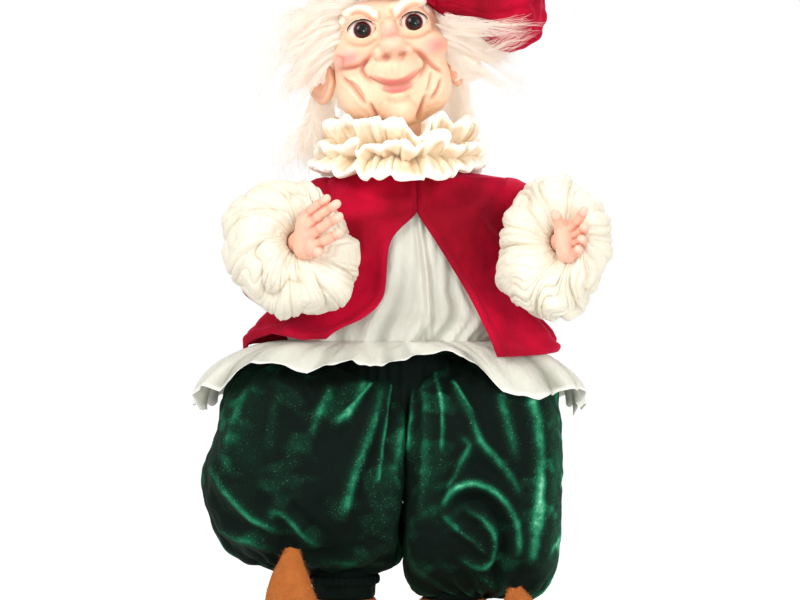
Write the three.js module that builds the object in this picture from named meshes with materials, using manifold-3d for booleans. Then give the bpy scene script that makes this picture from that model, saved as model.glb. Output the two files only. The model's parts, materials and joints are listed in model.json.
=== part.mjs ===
// Posable elf doll: sculpted head and hands, stuffed body on a bendable wire armature,
// velvet jacket, hat and pantaloons, organza blouse, ruff and wrist puffs, felt shoes.
// Millimetres, +Z up, the face looks along -Y, the doll's right side is at -X.

import * as THREE from 'three';
import { mergeVertices } from 'three/addons/utils/BufferGeometryUtils.js';
import Module from 'manifold-3d';

const wasm = await Module();
wasm.setup();

// Clearances
const FIT = 0.35;
const TURN_FIT = 0.5;
const CLOTH_FIT = 0.8;

// Heights of the body's landmarks above the floor
const KNEE_Z = 84;
const HIP_Z = 145;
const WAIST_Z = 206;
const SHOULDER_Z = 287;
const NECK_BASE_Z = 311;
const HEAD_Z = 366.5;

// Feet and shoes
const SOLE_THICKNESS = 3;
const SOLE_EDGE = 1.6;
const SHOE_COLLAR_Z = 46;
const SHOE_COLLAR_R = 20;
const SHOE_HEEL = 27;
const SHOE_BALL = 50;
const SHOE_WIDTH = 40;
const SHOE_HEIGHT = 30;
const TOE_CORE_Z = 18;
const TOE_POINT = 1.8;
const FOOT_R = 16;
const FOOT_DEPTH = 18;

// Legs
const SHIN_R = 21;
const KNEE_R = 18;
const THIGH_R = 20;
const ANKLE_BAND_HEIGHT = 6;
const ANKLE_BAND_THICKNESS = 2.2;
const KNEE_BEND_DEG = 25;
const BALLOON_DEPTH = 100;
const BALLOON_SAG = 6;
const BALLOON_BLEND = 8;
const SEAT_WEDGE = 7;
const SEAT_RISE = 25;
const SEAT = [62, 34, 29];
const THIGH_TOP = 14;

// Wire armature
const WIRE_R = 1.4;
const WIRE_FIT = 0.35;

// Torso, blouse and jacket
const TORSO_WIDTH = 78;
const TORSO_DEPTH = 54;
const BLOUSE_THICKNESS = 2.2;
const JACKET_THICKNESS = 3;
const JACKET_OPENING_Z = 283;
const PEPLUM_THICKNESS = 1.8;
const PEPLUM_GATHERS = 13;
const WAIST_X = 4;
const WAIST_R = 34;
const WAISTBAND_HEIGHT = 9;
const WAISTBAND_THICKNESS = 3;

// Neck and ruff
const NECK_X = 3;
const NECK_Y = 2;
const NECK_R = 13;
const NECK_POST_R = 8;
const RUFF_BAND_THICKNESS = 3;
const RUFF_BAND_HEIGHT = 9;
const RUFF_R = 57;
const RUFF_UPPER_R = 52;
const RUFF_THICKNESS = 1.8;
const RUFF_WAVES = 9;

// Arms
const SHOULDER_R = 21;
const SLEEVE_R = 17;
const SLEEVE_THICKNESS = 3.5;
const FOREARM_R = 9.5;
const FOREARM_SLEEVE_R = 14.5;
const WRIST_R = 7;
const WRIST_BAND_THICKNESS = 1.6;
const PUFF_R = 38.5;
const PUFF_DEPTH = 48;
const PUFF_GATHERS = 9;
const PUFF_CENTRE = 70;
const WRIST_AT = 86;
const SLEEVE_TUCK = 9;
const ELBOW_LOWER_DEG = 15;
const ELBOW_RAISE_DEG = 8;

// Head
const HEAD_ROLL_DEG = 9;
const HEAD_YAW_DEG = 4;
const EYE_R = 9.6;
const EYE_SPACING = 31.8;
const EYE_HEIGHT = 30;
const EYE_DEPTH = 23.6;
const SKULL_Y = 7;
const SKULL_Z = 28;
const SKULL = [35, 40, 36];
const HAT_BAND_HEIGHT = 9;
const HAT_BAND_THICKNESS = 3;
const HAT_BAND_AT = 49;
const HAT_ROLL_DEG = 12;
const HAT_PITCH_DEG = 8;
const WIG_THICKNESS = 4.5;
const BAND_STAND = 4.6;
const EAR_REACH = { right: 18, left: 13.4 };

// Crown of the hat and tufts of hair: middles from the head's own height, and half sizes
const CROWN_GATHERS = 9;
const CROWN_GATHER_DEPTH = 1.6;
const CROWN_MIDDLE = [4, 4, 58];
const CROWN_FORMS = [
  { middle: [-4, 8, 71], half: [55, 50, 22] },
  { middle: [44, -6, 61.5], half: [32, 36, 25] },
  { middle: [62, -17, 46.5], half: [26, 28, 25] },
];
const TUFTS = {
  right: { middle: [-50, 4, 23], half: [21, 20, 38] },
  left: { middle: [46, 2, 14], half: [21, 20, 24] },
};
const TUFT_WAVES = 5;

// What differs between the doll's right and left side
const SIDES = {
  right: {
    sign: -1,
    shoulder: [-44, 4, SHOULDER_Z],
    elbow: [-80, 6, 243],
    wristAim: [-56, -76, 265],
    leg: -32,
    balloonLow: 60,
    hipOut: 111,
    hipRound: 3,
    balloonOut: 120,
    balloonRound: 2,
    puffWide: 1,
    puffTall: 1.005,
    toeTurn: 27,
    toeTip: 82,
  },
  left: {
    sign: 1,
    shoulder: [71, 4, SHOULDER_Z],
    elbow: [107, 6, 243],
    wristAim: [98, -76, 265],
    leg: 36,
    balloonLow: 46,
    hipOut: 101,
    hipRound: 4,
    balloonOut: 103.5,
    balloonRound: 4,
    puffWide: 0.87,
    puffTall: 1.1,
    toeTurn: 34,
    toeTip: 58,
  },
};

const FINISH = {
  skin: { color: 0xf6d3b3, roughness: 0.55, metalness: 0 },
  eye: { color: 0x1d120e, roughness: 0.08, metalness: 0 },
  hair: { color: 0xe8ded4, roughness: 0.85, metalness: 0 },
  crimson: { color: 0xa70523, roughness: 0.9, metalness: 0 },
  green: { color: 0x05230f, roughness: 0.9, metalness: 0 },
  organza: { color: 0xf1e4c8, roughness: 0.6, metalness: 0 },
  sheer: { color: 0xdad7c4, roughness: 0.6, metalness: 0 },
  felt: { color: 0xc06f32, roughness: 0.95, metalness: 0 },
  sole: { color: 0x7d4a22, roughness: 0.95, metalness: 0 },
  muslin: { color: 0xe6dcc6, roughness: 0.95, metalness: 0 },
  elastic: { color: 0xe9e4d8, roughness: 0.9, metalness: 0 },
  wire: { color: 0x8e9297, roughness: 0.4, metalness: 1 },
};

const rad = THREE.MathUtils.degToRad;
const V = (x, y, z) => new THREE.Vector3(x, y, z);
const at = (list) => V(...list);
const mix = THREE.MathUtils.lerp;

// Solids and booleans

function solidOf(geometry) {
  const bare = geometry.clone();
  bare.deleteAttribute('normal');
  bare.deleteAttribute('uv');
  const merged = mergeVertices(bare, 1e-4);
  const mesh = new wasm.Mesh({
    numProp: 3,
    vertProperties: new Float32Array(merged.attributes.position.array),
    triVerts: new Uint32Array(merged.index.array),
  });
  return new wasm.Manifold(mesh);
}

function geometryOf(solid) {
  const mesh = solid.getMesh();
  const geometry = new THREE.BufferGeometry();
  geometry.setAttribute('position', new THREE.BufferAttribute(mesh.vertProperties, 3));
  geometry.setIndex(new THREE.BufferAttribute(mesh.triVerts, 1));
  geometry.computeVertexNormals();
  return geometry;
}

function largest(solid) {
  const parts = solid.decompose();
  return parts.reduce((best, part) => (part.volume() > best.volume() ? part : best));
}

function cut(base, ...tools) {
  return largest(tools.reduce((solid, tool) => solid.subtract(tool), base));
}

function join(...solids) {
  return solids.reduce((all, solid) => all.add(solid));
}

// A closed skin over rows of points. Each row is a ring; the ends close with a fan.
function loft(rings) {
  const n = rings[0].length;
  const points = rings.flat();
  const index = [];
  for (let r = 0; r + 1 < rings.length; r += 1) {
    for (let i = 0; i < n; i += 1) {
      const a = r * n + i;
      const b = r * n + ((i + 1) % n);
      index.push(a, b, b + n, a, b + n, a + n);
    }
  }
  const fan = (ring, base, flip) => {
    const centre = ring.reduce((sum, p) => sum.add(p), V(0, 0, 0)).divideScalar(n);
    const c = points.push(centre) - 1;
    for (let i = 0; i < n; i += 1) {
      const pair = [base + i, base + ((i + 1) % n)];
      index.push(c, ...(flip ? pair.reverse() : pair));
    }
  };
  fan(rings[0], 0, true);
  fan(rings[rings.length - 1], (rings.length - 1) * n, false);
  return outward(points, index);
}

// A closed skin over a band of points that closes on itself both ways.
function ringLoft(sections) {
  const m = sections[0].length;
  const n = sections.length;
  const index = [];
  for (let s = 0; s < n; s += 1) {
    for (let i = 0; i < m; i += 1) {
      const a = s * m + i;
      const b = s * m + ((i + 1) % m);
      const c = ((s + 1) % n) * m;
      index.push(a, b, c + (b - s * m), a, c + (b - s * m), c + i);
    }
  }
  return outward(sections.flat(), index);
}

// Cloth with a thickness: an outer and an inner face, joined along the open edges.
function cloth(columns, rows, outer, inner) {
  const points = [];
  for (const face of [outer, inner]) {
    for (let i = 0; i <= columns; i += 1) {
      for (let j = 0; j <= rows; j += 1) {
        points.push(face(i / columns, j / rows));
      }
    }
  }
  const w = rows + 1;
  const half = (columns + 1) * w;
  const index = [];
  const quad = (a, b, c, d) => index.push(a, b, c, a, c, d);
  for (let i = 0; i < columns; i += 1) {
    for (let j = 0; j < rows; j += 1) {
      const a = i * w + j;
      quad(a, a + w, a + w + 1, a + 1);
      quad(half + a, half + a + 1, half + a + w + 1, half + a + w);
    }
    quad(i * w, half + i * w, half + (i + 1) * w, (i + 1) * w);
    const e = i * w + rows;
    quad(e, e + w, half + e + w, half + e);
  }
  for (let j = 0; j < rows; j += 1) {
    quad(j, j + 1, half + j + 1, half + j);
    const e = columns * w + j;
    quad(e, half + e, half + e + 1, e + 1);
  }
  return outward(points, index);
}

// Orders the triangles so that the faces point out, and returns the solid.
function outward(points, index) {
  let volume = 0;
  for (let i = 0; i < index.length; i += 3) {
    const [a, b, c] = [points[index[i]], points[index[i + 1]], points[index[i + 2]]];
    volume += a.dot(b.clone().cross(c));
  }
  const order = volume < 0 ? index.slice().reverse() : index;
  const geometry = new THREE.BufferGeometry();
  geometry.setAttribute('position', new THREE.Float32BufferAttribute(points.flatMap((p) => p.toArray()), 3));
  geometry.setIndex(order);
  return solidOf(geometry);
}

// Distance fields of stuffed and sculpted forms, negative inside.
function egg([cx, cy, cz], [rx, ry, rz]) {
  return (p) => {
    const x = (p.x - cx) / rx;
    const y = (p.y - cy) / ry;
    const z = (p.z - cz) / rz;
    const k0 = Math.hypot(x, y, z);
    const k1 = Math.hypot(x / rx, y / ry, z / rz);
    return k1 === 0 ? -Math.min(rx, ry, rz) : (k0 * (k0 - 1)) / k1;
  };
}

// A barrel that lies along X, with a square shoulder towards the doll's middle and a shoulder as
// round as `round` says (2 is an egg, 4 a barrel) on its outer side.
function barrel([cx, cy, cz], [rx, ry, rz], outerSign, round) {
  return (p) => {
    const bend = (p.x - cx) * outerSign > 0 ? round : 4;
    const u = Math.abs(p.x - cx) / rx;
    const y = (p.y - cy) / ry;
    const z = (p.z - cz) / rz;
    const w = Math.hypot(y, z);
    const k0 = (u ** bend + w ** bend) ** (1 / bend);
    const k1 = Math.hypot(u ** (bend - 1) / rx, w ** (bend - 2) * Math.hypot(y / ry, z / rz));
    return k1 === 0 ? -Math.min(rx, ry, rz) : ((k0 - 1) * k0 ** (bend - 1)) / k1;
  };
}

function melt(k, base, ...more) {
  return (p) => more.reduce((a, field) => {
    const b = field(p);
    const h = THREE.MathUtils.clamp(0.5 + (0.5 * (b - a)) / k, 0, 1);
    return mix(b, a, h) - k * h * (1 - h);
  }, base(p));
}

function scoop(k, base, ...tools) {
  return (p) => tools.reduce((a, field) => {
    const b = -field(p);
    const h = THREE.MathUtils.clamp(0.5 - (0.5 * (b - a)) / k, 0, 1);
    return mix(b, a, h) + k * h * (1 - h);
  }, base(p));
}

// The skin of a field seen from its middle, on a grid of longitudes and latitudes that can
// be denser towards the front, grown by `grow` all round.
function starSkin(middle, lon, lat, field, reach, grow = 0, front = 0) {
  const rings = [];
  for (let j = 1; j < lat; j += 1) {
    const phi = -Math.PI / 2 + (Math.PI * j) / lat;
    const ring = [];
    for (let i = 0; i < lon; i += 1) {
      const t = (2 * Math.PI * i) / lon;
      const theta = t - front * Math.sin(t) - Math.PI / 2;
      const dir = V(Math.cos(phi) * Math.cos(theta), Math.cos(phi) * Math.sin(theta), Math.sin(phi));
      ring.push(hit(middle, dir, field, reach).addScaledVector(dir, grow));
    }
    rings.push(ring);
  }
  return loft(rings);
}

function hit(middle, dir, field, reach) {
  const stride = 1.5;
  let far = reach;
  while (far > stride && field(middle.clone().addScaledVector(dir, far - stride)) > 0) {
    far -= stride;
  }
  let near = far - stride;
  for (let k = 0; k < 12; k += 1) {
    const half = (near + far) / 2;
    if (field(middle.clone().addScaledVector(dir, half)) > 0) {
      far = half;
    } else {
      near = half;
    }
  }
  return middle.clone().addScaledVector(dir, (near + far) / 2);
}

// A turned solid: profile points [radius, distance along the axis] from one point to another.
function turned(from, to, profile, segments = 12) {
  const axis = to.clone().sub(from).normalize();
  const shape = profile.map(([r, s]) => new THREE.Vector2(r, s));
  const geometry = new THREE.LatheGeometry(shape, segments);
  geometry.applyQuaternion(new THREE.Quaternion().setFromUnitVectors(V(0, 1, 0), axis));
  geometry.translate(from.x, from.y, from.z);
  return solidOf(geometry);
}

function rodBetween(from, to, radius, segments = 8) {
  const length = to.distanceTo(from);
  return turned(from, to, [[0, 0], [radius, 0], [radius, length], [0, length]], segments);
}

function ball(centre, radius, w = 12, h = 8) {
  const geometry = new THREE.SphereGeometry(radius, w, h);
  geometry.translate(centre.x, centre.y, centre.z);
  return solidOf(geometry);
}

// The hollow that a ball turns in, with room for the flats of both.
function ballRoom(centre, radius) {
  return ball(centre, radius * 1.02 + TURN_FIT, 16, 12);
}

function turnedAbout(solid, centre, axis, degrees) {
  const matrix = new THREE.Matrix4().makeTranslation(centre.x, centre.y, centre.z)
    .multiply(new THREE.Matrix4().makeRotationAxis(axis, rad(degrees)))
    .multiply(new THREE.Matrix4().makeTranslation(-centre.x, -centre.y, -centre.z));
  return solid.transform(matrix.elements);
}

function block(low, high) {
  const size = at(high).sub(at(low));
  const middle = at(low).add(at(high)).multiplyScalar(0.5);
  const geometry = new THREE.BoxGeometry(size.x, size.y, size.z);
  geometry.translate(middle.x, middle.y, middle.z);
  return solidOf(geometry);
}

// A bent wire: one extrusion along its route.
function wire(points, radius = WIRE_R) {
  const section = new THREE.Shape(
    Array.from({ length: 8 }, (_, i) => new THREE.Vector2(
      radius * Math.cos((i * Math.PI) / 4),
      radius * Math.sin((i * Math.PI) / 4),
    )),
  );
  const path = new THREE.CatmullRomCurve3(points);
  const steps = Math.max(2, 3 * (points.length - 1));
  return solidOf(new THREE.ExtrudeGeometry(section, { steps, extrudePath: path, bevelEnabled: false }));
}

// A tapering limb with round ends through a few points, for fingers and thumbs.
function finger(points, radii, sides = 5) {
  const path = new THREE.CatmullRomCurve3(points);
  const steps = 3;
  const rings = [];
  const frames = path.computeFrenetFrames(steps + 4, false);
  const ringAt = (t, k, grow, slide) => {
    const c = path.getPointAt(t).addScaledVector(frames.tangents[k], slide);
    const r = grow * mix(radii[0], radii[1], t);
    return Array.from({ length: sides }, (_, i) => {
      const a = (2 * Math.PI * i) / sides;
      return c.clone()
        .addScaledVector(frames.normals[k], r * Math.cos(a))
        .addScaledVector(frames.binormals[k], r * Math.sin(a));
    });
  };
  rings.push(ringAt(0, 0, 0.55, -radii[0] * 0.75));
  for (let k = 0; k <= steps; k += 1) {
    rings.push(ringAt(k / steps, Math.round((k / steps) * (steps + 4)), 1, 0));
  }
  rings.push(ringAt(1, steps + 4, 0.55, radii[1] * 0.75));
  return loft(rings);
}

// Named meshes

const doll = new THREE.Group();

function add(name, solid, finish) {
  const mesh = new THREE.Mesh(geometryOf(solid), new THREE.MeshStandardMaterial(FINISH[finish]));
  mesh.name = name;
  doll.add(mesh);
}

// Head: frame of the tilted and slightly turned head, whose origin is between nose and mouth.

const headFrame = new THREE.Matrix4()
  .makeTranslation(-1.8, 0, HEAD_Z)
  .multiply(new THREE.Matrix4().makeRotationY(-rad(HEAD_ROLL_DEG)))
  .multiply(new THREE.Matrix4().makeRotationZ(rad(HEAD_YAW_DEG)));

function inHead(solid) {
  return solid.transform(headFrame.elements);
}

const headPoint = (x, y, z) => V(x, y, z).applyMatrix4(headFrame);

function headField() {
  const pair = (x, y, z, r) => [egg([x, y, z], r), egg([-x, y, z], r)];
  const skull = melt(8, egg([0, SKULL_Y - 1, SKULL_Z - 1], SKULL), egg([0, -3, 3], [SKULL[0], 29, 34]));
  const cheeks = melt(4, skull, ...pair(22, -20, 15.5, [13.5, 13, 10.5]), ...pair(20, -14, -8, [14.5, 15, 16]));
  const muzzle = melt(3, cheeks, egg([0, -27, 5.5], [16, 13.5, 11.5]), egg([0, -24, -21], [10.5, 12, 9.5]));
  const lips = melt(1.5, muzzle, egg([0, -33.5, -8.6], [9.5, 5, 2.8]));
  const bridge = melt(5, lips, egg([0, -36, 25], [5.5, 8, 10]), ...pair(15, -26, 42.5, [11, 6.5, 4.5]));
  const nose = melt(2.5, bridge, egg([0, -43.5, 17.5], [7.8, 8, 6.6]), ...pair(8.3, -38, 14.2, [4.2, 5.5, 4.3]));
  return scoop(2.5, nose, ...pair(EYE_SPACING / 2, -38.5, EYE_HEIGHT, [9.8, 8.5, 6.6]));
}

function ear(name, grow) {
  const { sign } = SIDES[name];
  const reach = EAR_REACH[name];
  const root = V(sign * 34, 4, 5);
  const outer = V(sign, 0.36, -0.18).normalize();
  const rings = [[0.45, -3], [1, 2], [0.9, reach - 3.4], [0.45, reach]].map(([scale, along]) => {
    const c = root.clone().addScaledVector(outer, along);
    return Array.from({ length: 10 }, (_, i) => {
      const a = (2 * Math.PI * i) / 10;
      return V(c.x, c.y + (5.5 * scale + grow) * Math.cos(a), c.z + (13 * scale + grow) * Math.sin(a));
    });
  });
  return loft(rings);
}

const face = headField();
const headMiddle = V(0, 0, 10);
const skinOfHead = starSkin(headMiddle, 32, 24, face, 62, 0, 0.45);
const headCutter = inHead(join(
  starSkin(headMiddle, 18, 13, face, 62, CLOTH_FIT + 1.1, 0.2),
  ear('right', CLOTH_FIT),
  ear('left', CLOTH_FIT),
));
const neckAxisLow = V(NECK_X, NECK_Y, NECK_BASE_Z + RUFF_BAND_HEIGHT + FIT);
const neckAxisHigh = V(NECK_X, NECK_Y, HEAD_Z - 12);
const neckStub = rodBetween(neckAxisLow, neckAxisHigh, NECK_R, 14);
const neckPostTop = V(NECK_X, NECK_Y, HEAD_Z - 16);
const neckSocket = rodBetween(
  V(NECK_X, NECK_Y, NECK_BASE_Z),
  V(NECK_X, NECK_Y, neckPostTop.z + FIT),
  NECK_POST_R + TURN_FIT,
  12,
);
const eyes = [-1, 1].map((sign) => headPoint((sign * EYE_SPACING) / 2, -EYE_DEPTH, EYE_HEIGHT));
const eyeSockets = eyes.map((centre) => ball(centre, EYE_R + FIT));
const earPair = [ear('right', 0), ear('left', 0)].map(inHead);
const headShell = join(inHead(skinOfHead), neckStub, ...earPair);
add('head_shell', cut(headShell, neckSocket, ...eyeSockets), 'skin');
add('eye_right', ball(eyes[0], EYE_R), 'eye');
add('eye_left', ball(eyes[1], EYE_R), 'eye');

// Wig: a cap over the skull with a fuller back, and a loose tuft over each ear.

const wigField = melt(
  6,
  egg([0, SKULL_Y, SKULL_Z], SKULL.map((r) => r + WIG_THICKNESS)),
  egg([0, 26, 6], [37, 27, 30]),
);
const wigMiddle = V(0, 10, 20);
const wigSkin = (grow) => inHead(starSkin(wigMiddle, 14, 9, wigField, 70, grow));
const faceWindow = inHead(block([-60, -70, -60], [60, 2, 46]));
const wig = cut(wigSkin(0), faceWindow, headCutter, rodBetween(neckAxisLow, neckAxisHigh, NECK_R + TURN_FIT, 10));
add('hair_back', wig, 'hair');

const wigCutter = cut(wigSkin(CLOTH_FIT), faceWindow);

// Hat: a band round the wig and a full gathered crown that hangs over to the doll's left.

const bandRise = (HAT_BAND_AT + HAT_BAND_HEIGHT / 2 - SKULL_Z) / (SKULL[2] + WIG_THICKNESS);
const bandRadii = SKULL.slice(0, 2).map((r) => (r + WIG_THICKNESS) * Math.sqrt(1 - bandRise ** 2));

// The hat sits back and tilted on the wig: its frame has its origin in the middle of the band.
const hatFrame = headFrame.clone()
  .multiply(new THREE.Matrix4().makeTranslation(0, SKULL_Y, HAT_BAND_AT))
  .multiply(new THREE.Matrix4().makeRotationY(rad(HAT_ROLL_DEG)))
  .multiply(new THREE.Matrix4().makeRotationX(-rad(HAT_PITCH_DEG)));

const hatPoint = (x, y, z) => V(x, y, z).applyMatrix4(hatFrame);

function hatBand(grow) {
  const sections = [];
  const n = 18;
  const t = HAT_BAND_THICKNESS;
  const drop = HAT_BAND_HEIGHT / 2;
  const corners = [[CLOTH_FIT - grow, -drop - grow], [CLOTH_FIT + t + grow, -drop - grow],
    [CLOTH_FIT + t + grow, drop + grow], [CLOTH_FIT - grow, drop + grow]];
  for (let i = 0; i < n; i += 1) {
    const a = (2 * Math.PI * i) / n;
    sections.push(corners.map(([out, up]) => hatPoint(
      (bandRadii[0] + BAND_STAND + out) * Math.cos(a),
      (bandRadii[1] + BAND_STAND + out) * Math.sin(a),
      drop + up,
    )));
  }
  return ringLoft(sections);
}

add('hat_band', cut(hatBand(0), wigCutter), 'crimson');

const aboveHead = ([x, y, z]) => [x, y, HEAD_Z + z];
const crownMiddle = at(aboveHead(CROWN_MIDDLE));
const crownBase = melt(9, ...CROWN_FORMS.map(({ middle, half }) => egg(aboveHead(middle), half)));

function crownField(p) {
  const angle = Math.atan2(p.y - crownMiddle.y, p.x - crownMiddle.x);
  return crownBase(p) + CROWN_GATHER_DEPTH * Math.cos(CROWN_GATHERS * angle + 1);
}

const crownSkin = (grow) => starSkin(crownMiddle, 27, 14, crownField, 100, grow);

// The oval room under the crown, for the band and the head below it.
function crownRoom(grow) {
  const out = BAND_STAND + HAT_BAND_THICKNESS + 2 * CLOTH_FIT + grow;
  const oval = (up) => Array.from({ length: 18 }, (_, i) => {
    const a = (2 * Math.PI * i) / 18;
    return hatPoint((bandRadii[0] + out) * Math.cos(a), (bandRadii[1] + out) * Math.sin(a), up);
  });
  return loft([oval(-HAT_BAND_AT - 60), oval(HAT_BAND_HEIGHT + FIT + grow)]);
}

add('hat_crown', cut(crownSkin(0), crownRoom(0), wigCutter), 'crimson');

const crownCutter = cut(crownSkin(CLOTH_FIT + 0.6), crownRoom(-CLOTH_FIT));

function tuft(name) {
  const middle = aboveHead(TUFTS[name].middle);
  const base = egg(middle, TUFTS[name].half);
  const centre = at(middle);
  const turn = (p) => Math.atan2(p.y - centre.y, p.x - centre.x);
  const field = (p) => base(p) + 1.2 * Math.cos(TUFT_WAVES * turn(p) + (p.z - HEAD_Z + 1) / 9);
  const solid = starSkin(centre, 12, 7, field, 60);
  const bandCutter = hatBand(CLOTH_FIT);
  add(`hair_${name}`, cut(solid, headCutter, wigCutter, bandCutter, crownCutter), 'hair');
}

tuft('right');
tuft('left');

// Neck and torso

const torsoTop = NECK_BASE_Z - 10;
const torsoField = melt(
  10,
  egg([4, 0, 236], [TORSO_WIDTH / 2, TORSO_DEPTH / 2, 40]),
  egg([10, 0, 276], [TORSO_WIDTH / 2 - 4, TORSO_DEPTH / 2 - 4, 30]),
);
const torsoFloor = block([-90, -90, 150], [90, 90, WAIST_Z + FIT]);
const torsoLid = block([-90, -90, torsoTop], [90, 90, 340]);
const spine = [V(NECK_X, NECK_Y, WAIST_Z + 8), V(NECK_X + 2, NECK_Y, 250), V(NECK_X, NECK_Y, torsoTop + 6)];
const shoulderRun = [0, 1].map((i) => (i === 0 ? SIDES.right : SIDES.left).shoulder)
  .map(([x, y, z], i) => V(x + (i === 0 ? 1 : -1) * (SHOULDER_R + 2), y, z));
const spineBore = wire(spine.map((p, i) => (i === 2 ? p.clone().setZ(torsoTop + 9) : p)), WIRE_R + WIRE_FIT);
const yokeY = NECK_Y + 2 * WIRE_R + 2 * WIRE_FIT + FIT;
const yokeEnds = shoulderRun.map((p) => V(p.x, yokeY, p.z - 8));
const yokeBore = rodBetween(V(yokeEnds[0].x - 12, yokeY, yokeEnds[0].z), V(yokeEnds[1].x + 12, yokeY, yokeEnds[1].z),
  WIRE_R + WIRE_FIT, 8);
const torso = cut(starSkin(V(6, 0, 250), 12, 7, torsoField, 90), torsoFloor, torsoLid, spineBore, yokeBore);
add('torso_body', torso, 'muslin');
add('spine_wire', wire(spine), 'wire');
add('shoulder_wire', rodBetween(yokeEnds[0], yokeEnds[1], WIRE_R, 8), 'wire');

const postFoot = V(NECK_X, NECK_Y, torsoTop + FIT);
const postBore = rodBetween(postFoot.clone().setZ(postFoot.z - 2), V(NECK_X, NECK_Y, torsoTop + 9), WIRE_R + WIRE_FIT, 8);
add('neck_post', cut(rodBetween(postFoot, neckPostTop, NECK_POST_R, 12), postBore), 'muslin');

// Coat profile shared by the blouse and the jacket: from the neck over the shoulder to the hem.
// Each row is height, middle, half width and half depth of the jacket's outside.

const bodyZ = (share) => mix(WAIST_Z, NECK_BASE_Z, share);
const COAT = [
  [NECK_BASE_Z, NECK_X, 21, 20],
  [NECK_BASE_Z - 2, 7, 36, 25],
  [NECK_BASE_Z - 9, 12, 53, 31],
  [bodyZ(0.79), 13, 60, 35],
  [bodyZ(0.61), 11, 61, 40],
  [bodyZ(0.438), 9, 60, 43],
  [bodyZ(0.286), 7, 65, 44],
  [bodyZ(0.152), 5, 76, 47],
  [bodyZ(0.038), 4, 90, 51],
  [bodyZ(-0.057), 3, 98, 55],
];

function coatRow(t) {
  const s = THREE.MathUtils.clamp(t, 0, 1) * (COAT.length - 1);
  const i = Math.min(COAT.length - 2, Math.floor(s));
  return COAT[i].map((value, k) => mix(value, COAT[i + 1][k], s - i));
}

function coatPoint(t, angle, inset) {
  const [z, cx, a, b] = coatRow(t);
  const lean = t < 0.22 ? inset * 0.75 : 0;
  return V(cx + (a - inset) * Math.cos(angle), (b - inset) * Math.sin(angle), z - lean);
}

function coatAtHeight(z) {
  const last = COAT.length - 1;
  const height = THREE.MathUtils.clamp(z, COAT[last][0], COAT[0][0]);
  const i = COAT.findIndex((row, k) => k < last && height >= COAT[k + 1][0]);
  return (i + (COAT[i][0] - height) / (COAT[i][0] - COAT[i + 1][0])) / last;
}

// Blouse: a loose organza smock inside the jacket.

const BLOUSE_TOP = 0.3;
const SEAM_Z = WAIST_Z - 0.5;
const SEAM_X = -3.5;
const SEAM_RADII = [60, 41];

// How far a soft rectangle reaches at an angle, where an ellipse reaches 1.
function squareness(angle) {
  return (Math.abs(Math.cos(angle)) ** 2.8 + Math.abs(Math.sin(angle)) ** 2.8) ** (-1 / 2.8);
}

function blousePoint(u, v, skin) {
  const [z, cx, a, b] = coatRow(mix(BLOUSE_TOP, coatAtHeight(SEAM_Z), v));
  const angle = 2 * Math.PI * u + Math.PI / 2;
  const gather = 1.1 * v * Math.cos(8 * angle);
  const inset = JACKET_THICKNESS + CLOTH_FIT + 1.4 + 6.5 * v + skin;
  const drawn = THREE.MathUtils.smoothstep(v, 0.68, 1);
  const seam = SEAM_RADII.map((r) => (r - skin) * squareness(angle));
  const wide = mix(a - inset, seam[0], drawn) + gather;
  const deep = mix(b - inset, seam[1], drawn) + gather;
  const lean = v < 0.1 ? skin : 0;
  return V(mix(cx, SEAM_X, drawn) + wide * Math.cos(angle), deep * Math.sin(angle), z - lean);
}

function tubeOfCloth(columns, rows, point, thickness) {
  const sections = [];
  for (let i = 0; i < columns; i += 1) {
    const outer = [];
    const inner = [];
    for (let j = 0; j <= rows; j += 1) {
      outer.push(point(i / columns, j / rows, 0));
      inner.unshift(point(i / columns, j / rows, thickness));
    }
    sections.push([...outer, ...inner]);
  }
  return ringLoft(sections);
}

function upperSleeve(side, grow) {
  const shoulder = at(side.shoulder);
  const elbow = at(side.elbow);
  const length = elbow.distanceTo(shoulder);
  const cone = turned(shoulder, elbow, [[0, 0], [SHOULDER_R - 1.5 + grow, 0], [SLEEVE_R + 1 + grow, length * 0.45],
    [SLEEVE_R + grow, length], [0, length]]);
  return join(ball(shoulder, SHOULDER_R + 4 * grow), cone);
}

function lowerSleeve(side) {
  const elbow = at(side.elbow);
  const aim = at(side.wristAim);
  const end = PUFF_CENTRE - PUFF_DEPTH / 2 + SLEEVE_TUCK;
  const cone = turned(elbow, aim, [[0, 0], [SLEEVE_R - 1, 0], [FOREARM_SLEEVE_R, 26],
    [FOREARM_SLEEVE_R - 1, end], [0, end]]);
  return join(ball(elbow, SLEEVE_R), cone);
}

const armholes = Object.values(SIDES).map((side) => upperSleeve(side, CLOTH_FIT));
const blouse = cut(tubeOfCloth(20, 3, blousePoint, BLOUSE_THICKNESS), ...armholes);
add('blouse_body', blouse, 'sheer');

// Peplum: the blouse's gathered skirt, which billows over the tops of the pantaloons and is
// raised at the middle of the front.

const PEPLUM_REACH = [58, 15];
const PEPLUM_DROP = 42;

function peplumPoint(u, v, skin) {
  const angle = 2 * Math.PI * u;
  const c = Math.cos(angle);
  const s = Math.sin(angle);
  const frontness = Math.max(0, -s) ** 1.5;
  const drop = mix(1, 0.32, frontness) * (s > 0 ? mix(1, 0.86, s) : 1);
  const phi = v * (Math.PI / 2) * drop;
  const wave = v * 2.6 * Math.cos(PEPLUM_GATHERS * angle);
  const square = squareness(angle);
  const a = SEAM_RADII[0] + (PEPLUM_REACH[0] + wave - skin) * Math.sin(phi);
  const b = SEAM_RADII[1] + (PEPLUM_REACH[1] + wave - skin) * Math.sin(phi);
  const under = skin * Math.cos(phi);
  return V(
    SEAM_X + a * square * c,
    b * square * s,
    SEAM_Z - FIT - under - PEPLUM_DROP * (1 - Math.cos(phi)) + wave * 0.3,
  );
}

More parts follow.
